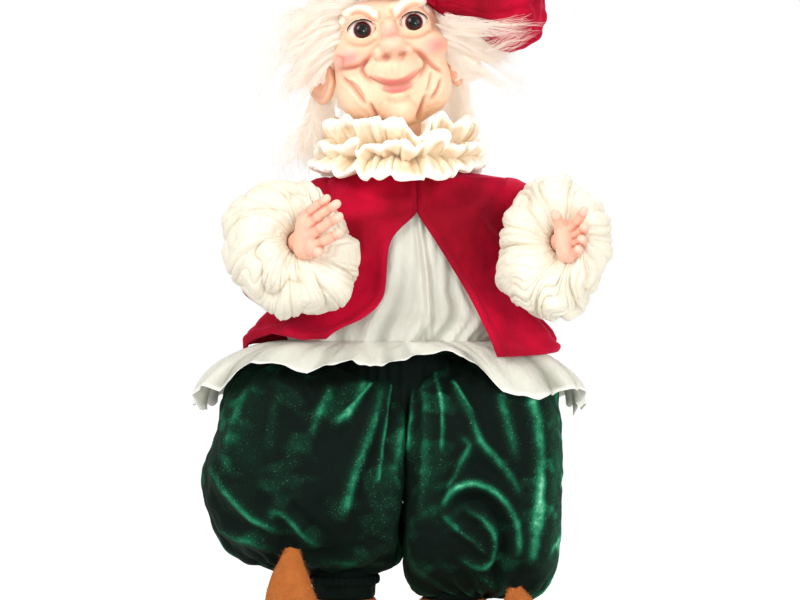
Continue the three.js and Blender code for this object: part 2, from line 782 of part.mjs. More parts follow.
add('peplum', tubeOfCloth(PEPLUM_GATHERS * 3, 3, peplumPoint, PEPLUM_THICKNESS), 'sheer');

// Jacket: a back and two fronts that meet below the ruff and fall open.

const jacketBackHem = coatAtHeight(203);

function jacketBack(u, v, skin) {
  const angle = mix(rad(2), rad(178), u);
  return coatPoint(jacketBackHem * v, angle, skin);
}

const OPENING = {
  right: [[NECK_BASE_Z, 12.6], [JACKET_OPENING_Z, 12.6], [270, -2], [255, -7], [236, -6], [222, -12], [212, -24]],
  left: [[NECK_BASE_Z, 14], [JACKET_OPENING_Z, 14], [240, 40], [222, 51], [208, 60], [203, 64]],
};

function openingAngle(name, t) {
  const [z, cx, a] = coatRow(t);
  const list = OPENING[name];
  let x = list[list.length - 1][1];
  for (let i = 0; i + 1 < list.length; i += 1) {
    if (z <= list[i][0] && z > list[i + 1][0]) {
      x = mix(list[i][1], list[i + 1][1], (list[i][0] - z) / (list[i][0] - list[i + 1][0]));
    }
  }
  return -Math.acos(THREE.MathUtils.clamp((x - cx) / a, -1, 1));
}

function jacketFront(name) {
  const seam = name === 'right' ? -rad(178.5) : -rad(1.5);
  const hem = name === 'right' ? [203, 212] : [202, 200.5];
  return (u, v, skin) => {
    const round = name === 'right' ? u ** 3 : u;
    const t = coatAtHeight(mix(hem[0], hem[1], round)) * v;
    return coatPoint(t, mix(seam, openingAngle(name, t), u), skin);
  };
}

function jacketPanel(name, point, columns) {
  const outer = (u, v) => point(u, v, 0);
  const inner = (u, v) => point(u, v, JACKET_THICKNESS);
  add(name, cut(cloth(columns, 6, outer, inner), ...armholes), 'crimson');
}

jacketPanel('jacket_back', jacketBack, 12);
jacketPanel('jacket_front_right', jacketFront('right'), 6);
jacketPanel('jacket_front_left', jacketFront('left'), 6);

// Ruff: a neck band with two gathered layers, the lower one falling over the jacket.

const ruffBandR = NECK_R + TURN_FIT + 0.5;
const ruffStart = ruffBandR + RUFF_BAND_THICKNESS + FIT;
const bandFloor = NECK_BASE_Z + FIT;
add('ruff_band', turned(V(NECK_X, NECK_Y, bandFloor), V(NECK_X, NECK_Y, 400), [
  [ruffBandR, 0],
  [ruffBandR + RUFF_BAND_THICKNESS, 0],
  [ruffBandR + RUFF_BAND_THICKNESS, RUFF_BAND_HEIGHT],
  [ruffBandR, RUFF_BAND_HEIGHT],
  [ruffBandR, 0],
], 18), 'organza');

function ruffPoint(radius, heightAt, phase) {
  return (u, v, skin) => {
    const angle = 2 * Math.PI * u;
    const r = mix(ruffStart, radius, v) + 1.5 * v * Math.cos(2 * RUFF_WAVES * angle + phase);
    const wave = 4 * v * Math.cos(RUFF_WAVES * angle + phase);
    return V(NECK_X + r * Math.cos(angle), NECK_Y - 3 * v + r * Math.sin(angle), heightAt(v, angle) + wave - skin);
  };
}

const lowerRuffHeight = (v, angle) => {
  const front = Math.max(0, -Math.sin(angle)) ** 2;
  const back = Math.max(0, Math.sin(angle)) ** 2;
  return bandFloor + 3.2 + 1.4 * v - (11 * front + 8 * back) * v ** 3;
};
const upperRuffHeight = (v) => bandFloor + 7.5 + 21.5 * v ** 1.15;
const ruffColumns = RUFF_WAVES * 4;
add('ruff_lower', tubeOfCloth(ruffColumns, 2, ruffPoint(RUFF_R, lowerRuffHeight, 0), RUFF_THICKNESS), 'organza');
add('ruff_upper', tubeOfCloth(ruffColumns, 3, ruffPoint(RUFF_UPPER_R, upperRuffHeight, 1), RUFF_THICKNESS), 'organza');

// Arms: ball-topped sleeves over stuffed arms, each with its wire, a gathered puff and a hand.

const HANDS = {
  right: {
    palm: [[-52.5, -82, 262], [-51, -85, 274]],
    fingers: [
      [[-53, -84, 279], [-47, -89.5, 284.5], [-39.6, -93, 289.5]],
      [[-51, -86, 274], [-43, -92, 280.5], [-33.6, -95, 286.5]],
      [[-49, -87, 268.5], [-41, -93, 274], [-32.2, -96, 279]],
      [[-46.5, -86.5, 262.5], [-39, -92, 266], [-31.8, -95, 269.8]],
    ],
    thumb: [[-49.5, -84, 262], [-46.5, -88, 258], [-43.5, -90.5, 257]],
  },
  left: {
    palm: [[100.5, -87, 260], [100, -84.5, 270]],
    fingers: [
      [[103.5, -86, 272], [107.5, -91.5, 278], [109.8, -95, 282.8]],
      [[105, -87.5, 268], [109.8, -93, 271], [109.5, -98, 273]],
      [[105, -87.5, 263.5], [109.5, -93.5, 265], [108, -98.5, 266]],
      [[103, -86.5, 259], [107.2, -92, 258.5], [106.4, -96.8, 260.2]],
    ],
    thumb: [[98, -84, 270], [95.5, -88.5, 276], [93.4, -91, 280.6]],
  },
};

const FINGER_R = 2.6;
const THUMB_R = 3.1;
const PALM_HALF = 6;
const PALM_ROUND = 6.8;

function hand(name, wristPoint) {
  const shape = HANDS[name];
  const [heel, knuckles] = shape.palm.map(at);
  const along = knuckles.clone().sub(heel);
  const palmHalf = along.length() / 2 + PALM_ROUND;
  const middle = heel.clone().lerp(knuckles, 0.5);
  const egglike = new THREE.SphereGeometry(1, 8, 6);
  egglike.scale(PALM_HALF, palmHalf, PALM_HALF);
  egglike.applyQuaternion(new THREE.Quaternion().setFromUnitVectors(V(0, 1, 0), along.clone().normalize()));
  egglike.translate(middle.x, middle.y, middle.z);
  const parts = shape.fingers.map((points) => finger(points.map(at), [FINGER_R + 0.4, FINGER_R - 0.3]));
  parts.push(finger(shape.thumb.map(at), [THUMB_R + 0.4, THUMB_R - 0.3]));
  const cuff = rodBetween(wristPoint(WRIST_AT - 5), wristPoint(WRIST_AT + 6), WRIST_R, 12);
  const bore = rodBetween(wristPoint(WRIST_AT - 7), wristPoint(WRIST_AT + 4), WIRE_R + WIRE_FIT, 8);
  add(`hand_${name}`, cut(join(cuff, solidOf(egglike), ...parts), bore), 'skin');
}

function arm(name) {
  const side = SIDES[name];
  const shoulder = at(side.shoulder);
  const elbow = at(side.elbow);
  const aim = at(side.wristAim);
  const upperLength = elbow.distanceTo(shoulder);
  const elbowSwing = turnedAbout(
    turned(elbow, aim, [[0, 0], [SLEEVE_R + CLOTH_FIT, 0], [SLEEVE_R + 5, 30], [0, 30]], 8),
    elbow,
    V(1, 0, 0),
    (ELBOW_LOWER_DEG - ELBOW_RAISE_DEG) / 2,
  );
  const elbowRoom = [ballRoom(elbow, SLEEVE_R), elbowSwing];
  const upperAt = (s) => shoulder.clone().lerp(elbow, s / upperLength);
  const forearmDirection = aim.clone().sub(elbow).normalize();
  const forearmAt = (s) => elbow.clone().addScaledVector(forearmDirection, s);

  const coreR = SLEEVE_R - SLEEVE_THICKNESS - FIT;
  const coreFrom = -8;
  const sleeveBore = rodBetween(upperAt(coreFrom - FIT), upperAt(upperLength), coreR + FIT, 12);
  add(`sleeve_upper_${name}`, cut(upperSleeve(side, 0), sleeveBore, ...elbowRoom), 'crimson');
  const coreBore = rodBetween(upperAt(-2), upperAt(upperLength), WIRE_R + WIRE_FIT, 8);
  const core = cut(rodBetween(upperAt(coreFrom), upperAt(upperLength), coreR, 12), coreBore, ...elbowRoom);
  add(`upper_arm_${name}`, core, 'muslin');
  const upperWireEnd = upperLength - SLEEVE_R - 2;
  add(`upper_arm_wire_${name}`, rodBetween(upperAt(-1), upperAt(upperWireEnd), WIRE_R, 8), 'wire');

  const puffBack = PUFF_CENTRE - PUFF_DEPTH / 2;
  const cuffEnd = puffBack + SLEEVE_TUCK;
  const lowerBore = rodBetween(forearmAt(4 - FIT), forearmAt(cuffEnd + 5), FOREARM_R + FIT, 12);
  add(`sleeve_lower_${name}`, cut(lowerSleeve(side), lowerBore), 'crimson');
  const coreEnd = WRIST_AT - 5 - FIT;
  const forearmBore = rodBetween(forearmAt(8), forearmAt(coreEnd + 2), WIRE_R + WIRE_FIT, 8);
  add(`forearm_${name}`, cut(rodBetween(forearmAt(4), forearmAt(coreEnd), FOREARM_R, 12), forearmBore), 'muslin');
  add(`forearm_wire_${name}`, rodBetween(forearmAt(9), forearmAt(WRIST_AT + 3), WIRE_R, 8), 'wire');

  // Puff: gathers run out from the wrist over a rounded rim to the sleeve.
  const bore = FOREARM_R + 2 * FIT;
  const profile = [
    [bore, cuffEnd + FIT], [bore, WRIST_AT - 1],
    [20, PUFF_CENTRE + PUFF_DEPTH * 0.5], [28, PUFF_CENTRE + PUFF_DEPTH * 0.45],
    [35, PUFF_CENTRE + PUFF_DEPTH * 0.28], [PUFF_R, PUFF_CENTRE + PUFF_DEPTH * 0.04],
    [36.5, PUFF_CENTRE - PUFF_DEPTH * 0.2], [26, puffBack + 1],
    [FOREARM_SLEEVE_R + FIT, puffBack + 3], [FOREARM_SLEEVE_R + FIT, cuffEnd + FIT],
  ];
  const across = V(1, 0, 0).projectOnPlane(forearmDirection).normalize();
  const upward = forearmDirection.clone().cross(across);
  const widen = (r, share) => r * mix(1, share, THREE.MathUtils.smoothstep(r, FOREARM_SLEEVE_R + 1, PUFF_R));
  const sections = [];
  const n = PUFF_GATHERS * 3;
  for (let i = 0; i < n; i += 1) {
    const a = (2 * Math.PI * i) / n;
    sections.push(profile.map(([r, s]) => {
      const loose = THREE.MathUtils.smoothstep(r, FOREARM_SLEEVE_R + 1, PUFF_R);
      const fold = loose * (1.5 * Math.cos(PUFF_GATHERS * a + r / 12) + 1.2 * Math.cos(3 * a + 1));
      const spread = r + fold;
      return forearmAt(s + 0.7 * fold)
        .addScaledVector(across, widen(spread, side.puffWide) * Math.cos(a))
        .addScaledVector(upward, widen(spread, side.puffTall) * Math.sin(a));
    }));
  }
  add(`puff_${name}`, ringLoft(sections), 'organza');
  const bandIn = WRIST_R + FIT;
  const bandOut = Math.min(bandIn + WRIST_BAND_THICKNESS, bore - FIT);
  add(`wrist_band_${name}`, turned(forearmAt(WRIST_AT - 4), forearmAt(WRIST_AT + 4), [
    [bandIn, 0], [bandOut, 0], [bandOut, 3.2], [bandIn, 3.2], [bandIn, 0],
  ], 14), 'elastic');
  hand(name, forearmAt);
}

arm('right');
arm('left');

// Pantaloons: the seat, and for each leg a ballooning velvet leg round a stuffed thigh.

const balloonInner = (side) => (side.sign > 0 ? SEAT_WEDGE : 0);

function balloonField(side) {
  const inner = balloonInner(side);
  const halfWidth = (side.balloonOut - inner) / 2;
  const hipHalf = (side.hipOut - inner) / 2;
  const middle = side.sign * (inner + halfWidth);
  const lowRadius = (HIP_Z + 26 - side.balloonLow) / 2;
  const deep = BALLOON_DEPTH / 2;
  const hipMiddle = [side.sign * (inner + hipHalf), 0, HIP_Z];
  const lowMiddle = [middle, 0, side.balloonLow + lowRadius];
  const top = barrel(hipMiddle, [hipHalf, deep, deep], side.sign, side.hipRound);
  const low = barrel(lowMiddle, [halfWidth, deep + BALLOON_SAG, lowRadius], side.sign, side.balloonRound);
  const base = melt(BALLOON_BLEND, top, low);
  const field = (p) => {
    const angle = Math.atan2(p.y, p.x - middle);
    const below = THREE.MathUtils.smoothstep(HIP_Z - 6 - p.z, 0, 22);
    const inward = THREE.MathUtils.smoothstep(side.sign * (p.x - middle), -halfWidth * 0.8, -halfWidth * 0.3);
    return base(p) + below * inward * (1.6 * Math.cos(8 * angle + p.z / 10) + 1.2 * Math.cos(3 * angle - p.z / 17));
  };
  return { field, middle };
}

const hipY = 0;
const hipReach = THIGH_R - 6;
const hipEnds = [V(SIDES.right.leg - hipReach, hipY, HIP_Z), V(SIDES.left.leg + hipReach, hipY, HIP_Z)];
const hipBore = rodBetween(V(hipEnds[0].x - 1, hipY, HIP_Z), V(hipEnds[1].x + 1, hipY, HIP_Z), WIRE_R + WIRE_FIT, 8);
add('hip_wire', rodBetween(hipEnds[0], hipEnds[1], WIRE_R, 8), 'wire');

function leg(name) {
  const side = SIDES[name];
  const x = side.leg;
  const { field, middle } = balloonField(side);
  const knee = V(x, 0, KNEE_Z);
  const down = (z) => V(x, 0, z);
  const balloon = starSkin(V(middle, 0, 118), 22, 13, field, 95);
  const thighForm = (grow) => turned(down(KNEE_Z), down(HIP_Z), [[0, 0], [THIGH_R + grow, 0],
    [THIGH_R + grow, HIP_Z - KNEE_Z], [THIGH_R * 0.7 + grow, HIP_Z - KNEE_Z + THIGH_TOP * 0.8 + grow],
    [0, HIP_Z - KNEE_Z + THIGH_TOP + grow]]);
  const legRoomR = SHIN_R + ANKLE_BAND_THICKNESS + TURN_FIT + FIT;
  const halfBend = rad(KNEE_BEND_DEG) / 2;
  const swing = KNEE_Z - side.balloonLow + 6;
  const toward = V(x, Math.sin(halfBend), KNEE_Z - Math.cos(halfBend));
  const sweep = turned(knee, toward, [[0, 0], [legRoomR, 0],
    [legRoomR + swing * Math.tan(halfBend), swing], [0, swing]]);
  const kneeRoom = ball(knee, legRoomR);
  const legCloth = cut(balloon, thighForm(FIT), kneeRoom, sweep, hipBore);
  add(`pants_leg_${name}`, legCloth, 'green');

  const kneeSocket = ballRoom(knee, KNEE_R);
  const wireGap = WIRE_R + WIRE_FIT;
  const thighWireBore = rodBetween(down(KNEE_Z + 12), down(HIP_Z - 5), wireGap, 8);
  add(`thigh_${name}`, cut(thighForm(0), kneeSocket, thighWireBore, hipBore), 'muslin');
  add(`thigh_wire_${name}`, rodBetween(down(KNEE_Z + KNEE_R + 2), down(HIP_Z - 6), WIRE_R, 8), 'wire');

  // Shin: knee ball, velvet-covered calf and the slimmer foot end inside the shoe.
  const shinFoot = SHOE_COLLAR_Z - FOOT_DEPTH;
  const shin = join(
    ball(knee, KNEE_R),
    turned(down(shinFoot), down(KNEE_Z), [[0, 0], [FOOT_R, 0], [FOOT_R, SHOE_COLLAR_Z - shinFoot + FIT],
      [SHIN_R - 1.5, SHOE_COLLAR_Z - shinFoot + 2], [SHIN_R, SHOE_COLLAR_Z - shinFoot + 9],
      [SHIN_R - 4, KNEE_Z - shinFoot - 14], [KNEE_R - 4, KNEE_Z - shinFoot], [0, KNEE_Z - shinFoot]]),
  );
  const shinBore = rodBetween(down(shinFoot - 2), down(KNEE_Z - 8), wireGap, 8);
  add(`shin_${name}`, cut(shin, shinBore), 'green');
  add(`shin_wire_${name}`, rodBetween(down(shinFoot + FIT), down(KNEE_Z - 9), WIRE_R, 8), 'wire');
  const bandLow = SHOE_COLLAR_Z + 9;
  add(`ankle_band_${name}`, turned(down(bandLow), down(KNEE_Z), [
    [SHIN_R + FIT, 0], [SHIN_R + ANKLE_BAND_THICKNESS, 0],
    [SHIN_R + ANKLE_BAND_THICKNESS, ANKLE_BAND_HEIGHT], [SHIN_R + FIT, ANKLE_BAND_HEIGHT], [SHIN_R + FIT, 0],
  ]), 'elastic');
  shoe(name, side);
}

// Shoe: a felt upper that runs out into an upturned pointed toe, on a flat sole.

function shoe(name, side) {
  const turn = rad(side.toeTurn);
  const forward = V(side.sign * Math.sin(turn), -Math.cos(turn), 0);
  const across = V(Math.cos(turn), side.sign * Math.sin(turn), 0);
  const ankle = V(side.leg, 0, 0);
  const tip = side.toeTip;
  const place = (s, z) => ankle.clone().addScaledVector(forward, s).setZ(z);
  const rise = (share) => mix(TOE_CORE_Z, tip, share);
  const middleLine = new THREE.CatmullRomCurve3([
    place(-SHOE_HEEL, 15), place(-14, 17), place(4, 17), place(22, 17), place(SHOE_BALL - 12, 19),
    place(SHOE_BALL + 4, rise(0.14)), place(SHOE_BALL + 14, rise(0.4)),
    place(SHOE_BALL + 17, rise(0.7)), place(SHOE_BALL + 14, tip),
  ], false, 'centripetal');
  const half = SHOE_WIDTH / 2;
  const rim = SHOE_HEIGHT / 2;
  const size = new THREE.SplineCurve([
    [6, 7], [half - 2, rim], [half, rim], [half + 1, rim + 1], [half + 1, rim + 1],
    [half + 0.5, rim], [half - 3, rim - 3], [half * 0.5, rim * 0.55], [TOE_POINT, TOE_POINT],
  ].map(([wide, high]) => new THREE.Vector2(wide, high)));
  const rings = [];
  const steps = 13;
  for (let k = 0; k <= steps; k += 1) {
    const t = k / steps;
    const c = middleLine.getPoint(t);
    const tangent = middleLine.getTangent(t);
    const up = tangent.clone().cross(across).normalize();
    const wh = size.getPoint(t);
    rings.push(Array.from({ length: 10 }, (_, i) => {
      const a = (2 * Math.PI * i) / 10;
      return c.clone()
        .addScaledVector(across, wh.x * Math.cos(a))
        .addScaledVector(up, wh.y * Math.sin(a));
    }));
  }
  const ground = block([-200, -200, -60], [200, 200, SOLE_THICKNESS + FIT]);
  const collarFoot = 14;
  const collar = turned(place(0, collarFoot), place(0, SHOE_COLLAR_Z), [[0, 0], [SHOE_COLLAR_R - 2, 0],
    [SHOE_COLLAR_R, SHOE_COLLAR_Z - collarFoot - 4], [SHOE_COLLAR_R - 1, SHOE_COLLAR_Z - collarFoot],
    [0, SHOE_COLLAR_Z - collarFoot]]);
  const socket = rodBetween(place(0, SHOE_COLLAR_Z - FOOT_DEPTH - FIT), place(0, KNEE_Z), FOOT_R + FIT, 12);
  add(`shoe_upper_${name}`, cut(join(loft(rings), collar), ground, socket), 'felt');

  const outline = new THREE.Shape();
  outline.moveTo(-SHOE_HEEL + SOLE_EDGE, 0);
  outline.bezierCurveTo(-SHOE_HEEL, half, -6, half - 1, 8, half);
  outline.bezierCurveTo(24, half + 1, SHOE_BALL - 12, half, SHOE_BALL + 4, 0);
  outline.bezierCurveTo(SHOE_BALL - 12, -half, 24, -half - 1, 8, -half);
  outline.bezierCurveTo(-6, -half + 1, -SHOE_HEEL, -half, -SHOE_HEEL + SOLE_EDGE, 0);
  const sole = new THREE.ExtrudeGeometry(outline, { depth: SOLE_THICKNESS, bevelEnabled: false, curveSegments: 5 });
  const basis = new THREE.Matrix4().makeBasis(forward, V(0, 0, 1).cross(forward), V(0, 0, 1));
  sole.applyMatrix4(basis);
  sole.translate(ankle.x, ankle.y, 0);
  add(`shoe_sole_${name}`, solidOf(sole), 'sole');
}

// The room in the seat for the hip of each leg, turned about the hip axis that the leg swings on.
function hipRoom(side) {
  const room = CLOTH_FIT + 2.4;
  const half = (side.hipOut - balloonInner(side)) / 2;
  const middle = side.sign * (balloonInner(side) + half);
  const profile = Array.from({ length: 11 }, (_, k) => {
    const u = Math.sin((Math.PI * k) / 10 - Math.PI / 2);
    return [(BALLOON_DEPTH / 2 + room) * (1 - u ** 4) ** 0.25, (half + room) * (1 + u)];
  });
  return turned(V(middle - half - room, 0, HIP_Z), V(middle, 0, HIP_Z), profile, 18);
}

const hipRooms = Object.values(SIDES).map(hipRoom);
const waistAt = (z) => V(WAIST_X, 0, z);
const seatNeck = turned(waistAt(WAIST_Z - 24), waistAt(WAIST_Z), [[0, 0], [WAIST_R - 2, 0], [WAIST_R, 24], [0, 24]], 16);
const seatMiddle = [2, 0, HIP_Z + SEAT_RISE];
const seatForm = join(starSkin(at(seatMiddle), 14, 8, egg(seatMiddle, SEAT), 80), seatNeck);
add('pants_seat', cut(seatForm, hipBore, ...hipRooms), 'green');
add('pants_waistband', turned(waistAt(WAIST_Z - WAISTBAND_HEIGHT), waistAt(WAIST_Z), [
  [WAIST_R + FIT, 0],
  [WAIST_R + WAISTBAND_THICKNESS, 0],
  [WAIST_R + WAISTBAND_THICKNESS, WAISTBAND_HEIGHT],
  [WAIST_R + FIT, WAISTBAND_HEIGHT],
  [WAIST_R + FIT, 0],
], 16), 'green');
leg('right');
leg('left');

// The origin lies on the floor under the middle of the doll.
const box = new THREE.Box3().setFromObject(doll);
const middle = box.getCenter(V(0, 0, 0));
for (const mesh of doll.children) {
  mesh.geometry.translate(-middle.x, -middle.y, -box.min.z);
}

export default doll;
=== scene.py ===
"""A posable elf doll on a white studio floor: sculpted head and hands, mohair, velvet, organza and felt."""

import json
import math

import bpy
import numpy as np
from mathutils import Matrix, Vector


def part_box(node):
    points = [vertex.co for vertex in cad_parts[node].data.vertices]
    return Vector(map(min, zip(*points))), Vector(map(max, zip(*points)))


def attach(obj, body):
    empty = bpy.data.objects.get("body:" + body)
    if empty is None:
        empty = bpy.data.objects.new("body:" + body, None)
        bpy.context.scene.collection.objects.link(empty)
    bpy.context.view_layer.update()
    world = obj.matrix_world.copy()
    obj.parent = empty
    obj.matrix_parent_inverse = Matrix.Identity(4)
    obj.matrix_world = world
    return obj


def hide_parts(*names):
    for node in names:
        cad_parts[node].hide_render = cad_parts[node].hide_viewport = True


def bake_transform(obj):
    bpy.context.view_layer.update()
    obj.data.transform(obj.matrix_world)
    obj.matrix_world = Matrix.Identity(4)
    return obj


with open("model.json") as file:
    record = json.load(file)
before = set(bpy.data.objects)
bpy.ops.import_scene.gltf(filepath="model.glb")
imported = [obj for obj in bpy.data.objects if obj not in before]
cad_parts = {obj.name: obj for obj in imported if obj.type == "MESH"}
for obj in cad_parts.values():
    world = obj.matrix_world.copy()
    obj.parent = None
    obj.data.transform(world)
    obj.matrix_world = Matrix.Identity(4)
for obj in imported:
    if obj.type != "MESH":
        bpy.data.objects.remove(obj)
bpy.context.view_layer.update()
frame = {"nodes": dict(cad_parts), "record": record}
scene = bpy.context.scene


# Setting out
# The doll was drawn up in millimetres about its neck, which stands 3 mm to its left and 2 mm
# behind the drawing's axis. The neck post of the frame gives the same axis here.

NECK = np.array([3.0, 2.0])
post_low, post_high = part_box("neck_post")
axis_shift = np.array([
    (post_low.x + post_high.x) / 2 - NECK[0] / 1000,
    (post_low.y + post_high.y) / 2 - NECK[1] / 1000,
    0.0,
])


def placed(points):
    """Points of the drawing, in millimetres, as points of the frame, in metres."""
    return np.asarray(points, float) / 1000 + axis_shift


# Studio
# A white floor under a level, soft light, with the camera in front at the height of the jacket.
# Two small lamps in front put the glints in the eyes.

VIEW_MIDDLE = (3.0, 230.6)
VIEW_WIDTH = 496.0
VIEW_DISTANCE = 1500.0
SENSOR_WIDTH = 36
FLOOR_WIDTH = 9
FLOOR_GAP = 0.0002
LAMP_AIM = (0, 0, 260)

camera = bpy.data.objects.new("camera", bpy.data.cameras.new("camera"))
scene.collection.objects.link(camera)
camera.location = placed((VIEW_MIDDLE[0], -VIEW_DISTANCE, VIEW_MIDDLE[1]))
camera.rotation_euler = (math.pi / 2, 0, 0)
camera.data.sensor_width = SENSOR_WIDTH
camera.data.lens = SENSOR_WIDTH * VIEW_DISTANCE / VIEW_WIDTH
scene.camera = camera
scene.view_settings.view_transform = "Standard"


def node(tree, kind, output=0, setting=None, **inputs):
    """Adds a shader node, fills or links its inputs (x0 is the first) and returns an output."""
    made = tree.nodes.new("ShaderNode" + kind)
    for name, value in (setting or {}).items():
        setattr(made, name, value)
    for name, value in inputs.items():
        numbered = name[0] == "x" and name[1:].isdigit()
        socket = made.inputs[int(name[1:]) if numbered else name.replace("_", " ")]
        if isinstance(value, bpy.types.NodeSocket):
            tree.links.new(value, socket)
        else:
            socket.default_value = value
    return made.outputs[output]


def math_node(tree, operation, a, b=0.0):
    return node(tree, "Math", setting={"operation": operation}, x0=a, x1=b)


def new_material(name):
    made = bpy.data.materials.new(name)
    made.use_nodes = True
    made.node_tree.nodes.clear()
    return made, made.node_tree


def close_material(tree, surface):
    output = tree.nodes.new("ShaderNodeOutputMaterial")
    tree.links.new(surface, output.inputs["Surface"])


floor_paint, tree = new_material("studio_floor")
light_path = tree.nodes.new("ShaderNodeLightPath")
washed = math_node(tree, "MULTIPLY", light_path.outputs["Is Camera Ray"], 0.9)
close_material(tree, node(
    tree, "MixShader", Fac=washed,
    x1=node(tree, "BsdfDiffuse", Color=(0.86, 0.86, 0.86, 1)),
    x2=node(tree, "Emission", Color=(1, 1, 1, 1), Strength=1.12),
))
bpy.ops.mesh.primitive_plane_add(size=FLOOR_WIDTH, location=(0, 0, -FLOOR_GAP))
floor = bpy.context.object
floor.name = "floor"
floor.data.materials.append(floor_paint)

sky = bpy.data.worlds.new("studio")
sky.use_nodes = True
scene.world = sky
tree = sky.node_tree
tree.nodes.clear()
light_path = tree.nodes.new("ShaderNodeLightPath")
direct = math_node(tree, "MAXIMUM", light_path.outputs["Is Camera Ray"], light_path.outputs["Is Glossy Ray"])
direct = math_node(tree, "MAXIMUM", direct, light_path.outputs["Is Transmission Ray"])
ambient = node(tree, "Background", Color=(1.0, 0.99, 0.98, 1), Strength=0.42)
backdrop = node(tree, "Background", Color=(1, 1, 1, 1), Strength=1.0)
output = tree.nodes.new("ShaderNodeOutputWorld")
tree.links.new(node(tree, "MixShader", Fac=direct, x1=ambient, x2=backdrop), output.inputs["Surface"])

# Each lamp: its place, its width in millimetres and its power in watts.
STUDIO_LAMPS = [
    ("key_lamp", (-900, -1100, 1150), 700, 17.0),
    ("fill_lamp", (1100, -1000, 700), 900, 7.0),
    ("top_lamp", (200, 500, 1300), 800, 8.0),
    ("glint_lamp_high", (360, -1350, 470), 60, 2.2),
    ("glint_lamp_low", (560, -1250, 250), 60, 2.2),
]
for name, spot, size, power in STUDIO_LAMPS:
    lamp = bpy.data.objects.new(name, bpy.data.lights.new(name, "AREA"))
    scene.collection.objects.link(lamp)
    lamp.data.size = size / 1000
    lamp.data.energy = power
    lamp.location = placed(spot)
    aim = Vector(placed(LAMP_AIM)) - lamp.location
    lamp.rotation_euler = aim.to_track_quat("-Z", "Y").to_euler()


# Head
# Cast in resin and painted by hand: a laughing old face with heavy cheeks and creases, blushed
# cheeks and nose, white painted brows and pink lips. It turns on the neck post.

HEAD_AT = (-1.8, 0.0, 366.5)
HEAD_ROLL = math.radians(9)
HEAD_YAW = math.radians(4)
EYE_R = 9.6
EYE_MIDDLE = np.array([15.9, -23.6, 30.0])
# An eye's opening: half its width, its height above and below the middle, how far its corners
# are raised and how pointed they are.
EYE_OPENING = (8.9, 6.5, 4.9)
CORNER_RISE = 0.8
CORNER_POINT = 0.55
SKULL = (35, 40, 36)

head_frame = (
    Matrix.Translation(HEAD_AT) @ Matrix.Rotation(-HEAD_ROLL, 4, "Y") @ Matrix.Rotation(HEAD_YAW, 4, "Z")
)
head_turn = np.array(head_frame)[:3, :3]


def from_head(points):
    """Points about the head's own middle as points of the drawing."""
    return np.asarray(points, float) @ head_turn.T + np.array(HEAD_AT)


def egg(middle, radii):
    """Distance to an ellipsoid, negative inside."""
    middle, radii = np.array(middle, float), np.array(radii, float)

    def field(points):
        q = (points - middle) / radii
        far = np.linalg.norm(q, axis=-1)
        return far * (far - 1) / (np.linalg.norm(q / radii, axis=-1) + 1e-9)

    return field


def melt(soft, *fields):
    """Forms run together, as in clay."""
    def field(points):
        total = fields[0](points)
        for other in fields[1:]:
            b = other(points)
            h = np.clip(0.5 + 0.5 * (b - total) / soft, 0, 1)
            total = b + (total - b) * h - soft * h * (1 - h)
        return total

    return field


def scoop(soft, base, *tools):
    """Forms pressed out of a body."""
    def field(points):
        total = base(points)
        for tool in tools:
            b = -tool(points)
            h = np.clip(0.5 - 0.5 * (b - total) / soft, 0, 1)
            total = b + (total - b) * h + soft * h * (1 - h)
        return total

    return field


def pair(x, y, z, radii):
    return [egg((x, y, z), radii), egg((-x, y, z), radii)]


def ring_angles(count):
    """Angles all round a ring, as a column."""
    return np.linspace(0, 2 * np.pi, count, endpoint=False)[:, None]


def star_rays(around, up, front=0.0):
    """Unit directions over a sphere, closer together towards the front."""
    t = ring_angles(around)
    lift = np.linspace(-np.pi / 2, np.pi / 2, up + 2)[None, 1:-1]
    turn = t - front * np.sin(t) - np.pi / 2
    return np.stack([
        np.cos(lift) * np.cos(turn), np.cos(lift) * np.sin(turn), np.sin(lift) * np.ones_like(turn),
    ], axis=-1)


def star_reach(middle, rays, field, reach, stride=1.0, closest=4.0):
    """How far each ray from the middle runs inside the field's outermost skin."""
    flat = rays.reshape(-1, 3)
    far = np.full(len(flat), float(reach))
    open_rays = np.arange(len(flat))
    step_out = reach
    while len(open_rays) and step_out > closest:
        step_out -= stride
        outside = field(middle + flat[open_rays] * step_out) > 0
        far[open_rays] = step_out + stride * (~outside)
        open_rays = open_rays[outside]
    near = far - stride
    for _ in range(9):
        half = (near + far) / 2
        outside = field(middle + flat * half[:, None]) > 0
        far = np.where(outside, half, far)
        near = np.where(outside, near, half)
    return ((near + far) / 2).reshape(rays.shape[:-1])


def shell(middle, form, reach, around, up, front=0.0):
    """Rays from a middle, how far out each meets a form's skin, and the points there."""
    middle = np.array(middle, float)
    rays = star_rays(around, up, front)
    far = star_reach(middle, rays, form, reach)
    return rays, far, middle + rays * far[..., None]


def round_grid(turn, wide, deep, height, at=(0, 0)):
    """Points about an upright axis, from half width, half depth and height at each angle."""
    x, y = at[0] + wide * np.cos(turn), at[1] + deep * np.sin(turn)
    return np.stack(np.broadcast_arrays(x, y, height), -1)


def grid_faces(columns, rows, loop=False):
    """Quads over a grid that is closed round its columns and, for a loop, round its rows too."""
    i = np.arange(columns)[:, None]
    j = np.arange(rows if loop else rows - 1)[None, :]
    right, above = (i + 1) % columns, (j + 1) % rows
    corners = [i * rows + j, right * rows + j, right * rows + above, i * rows + above]
    return np.stack(corners, -1).reshape(-1, 4).tolist()


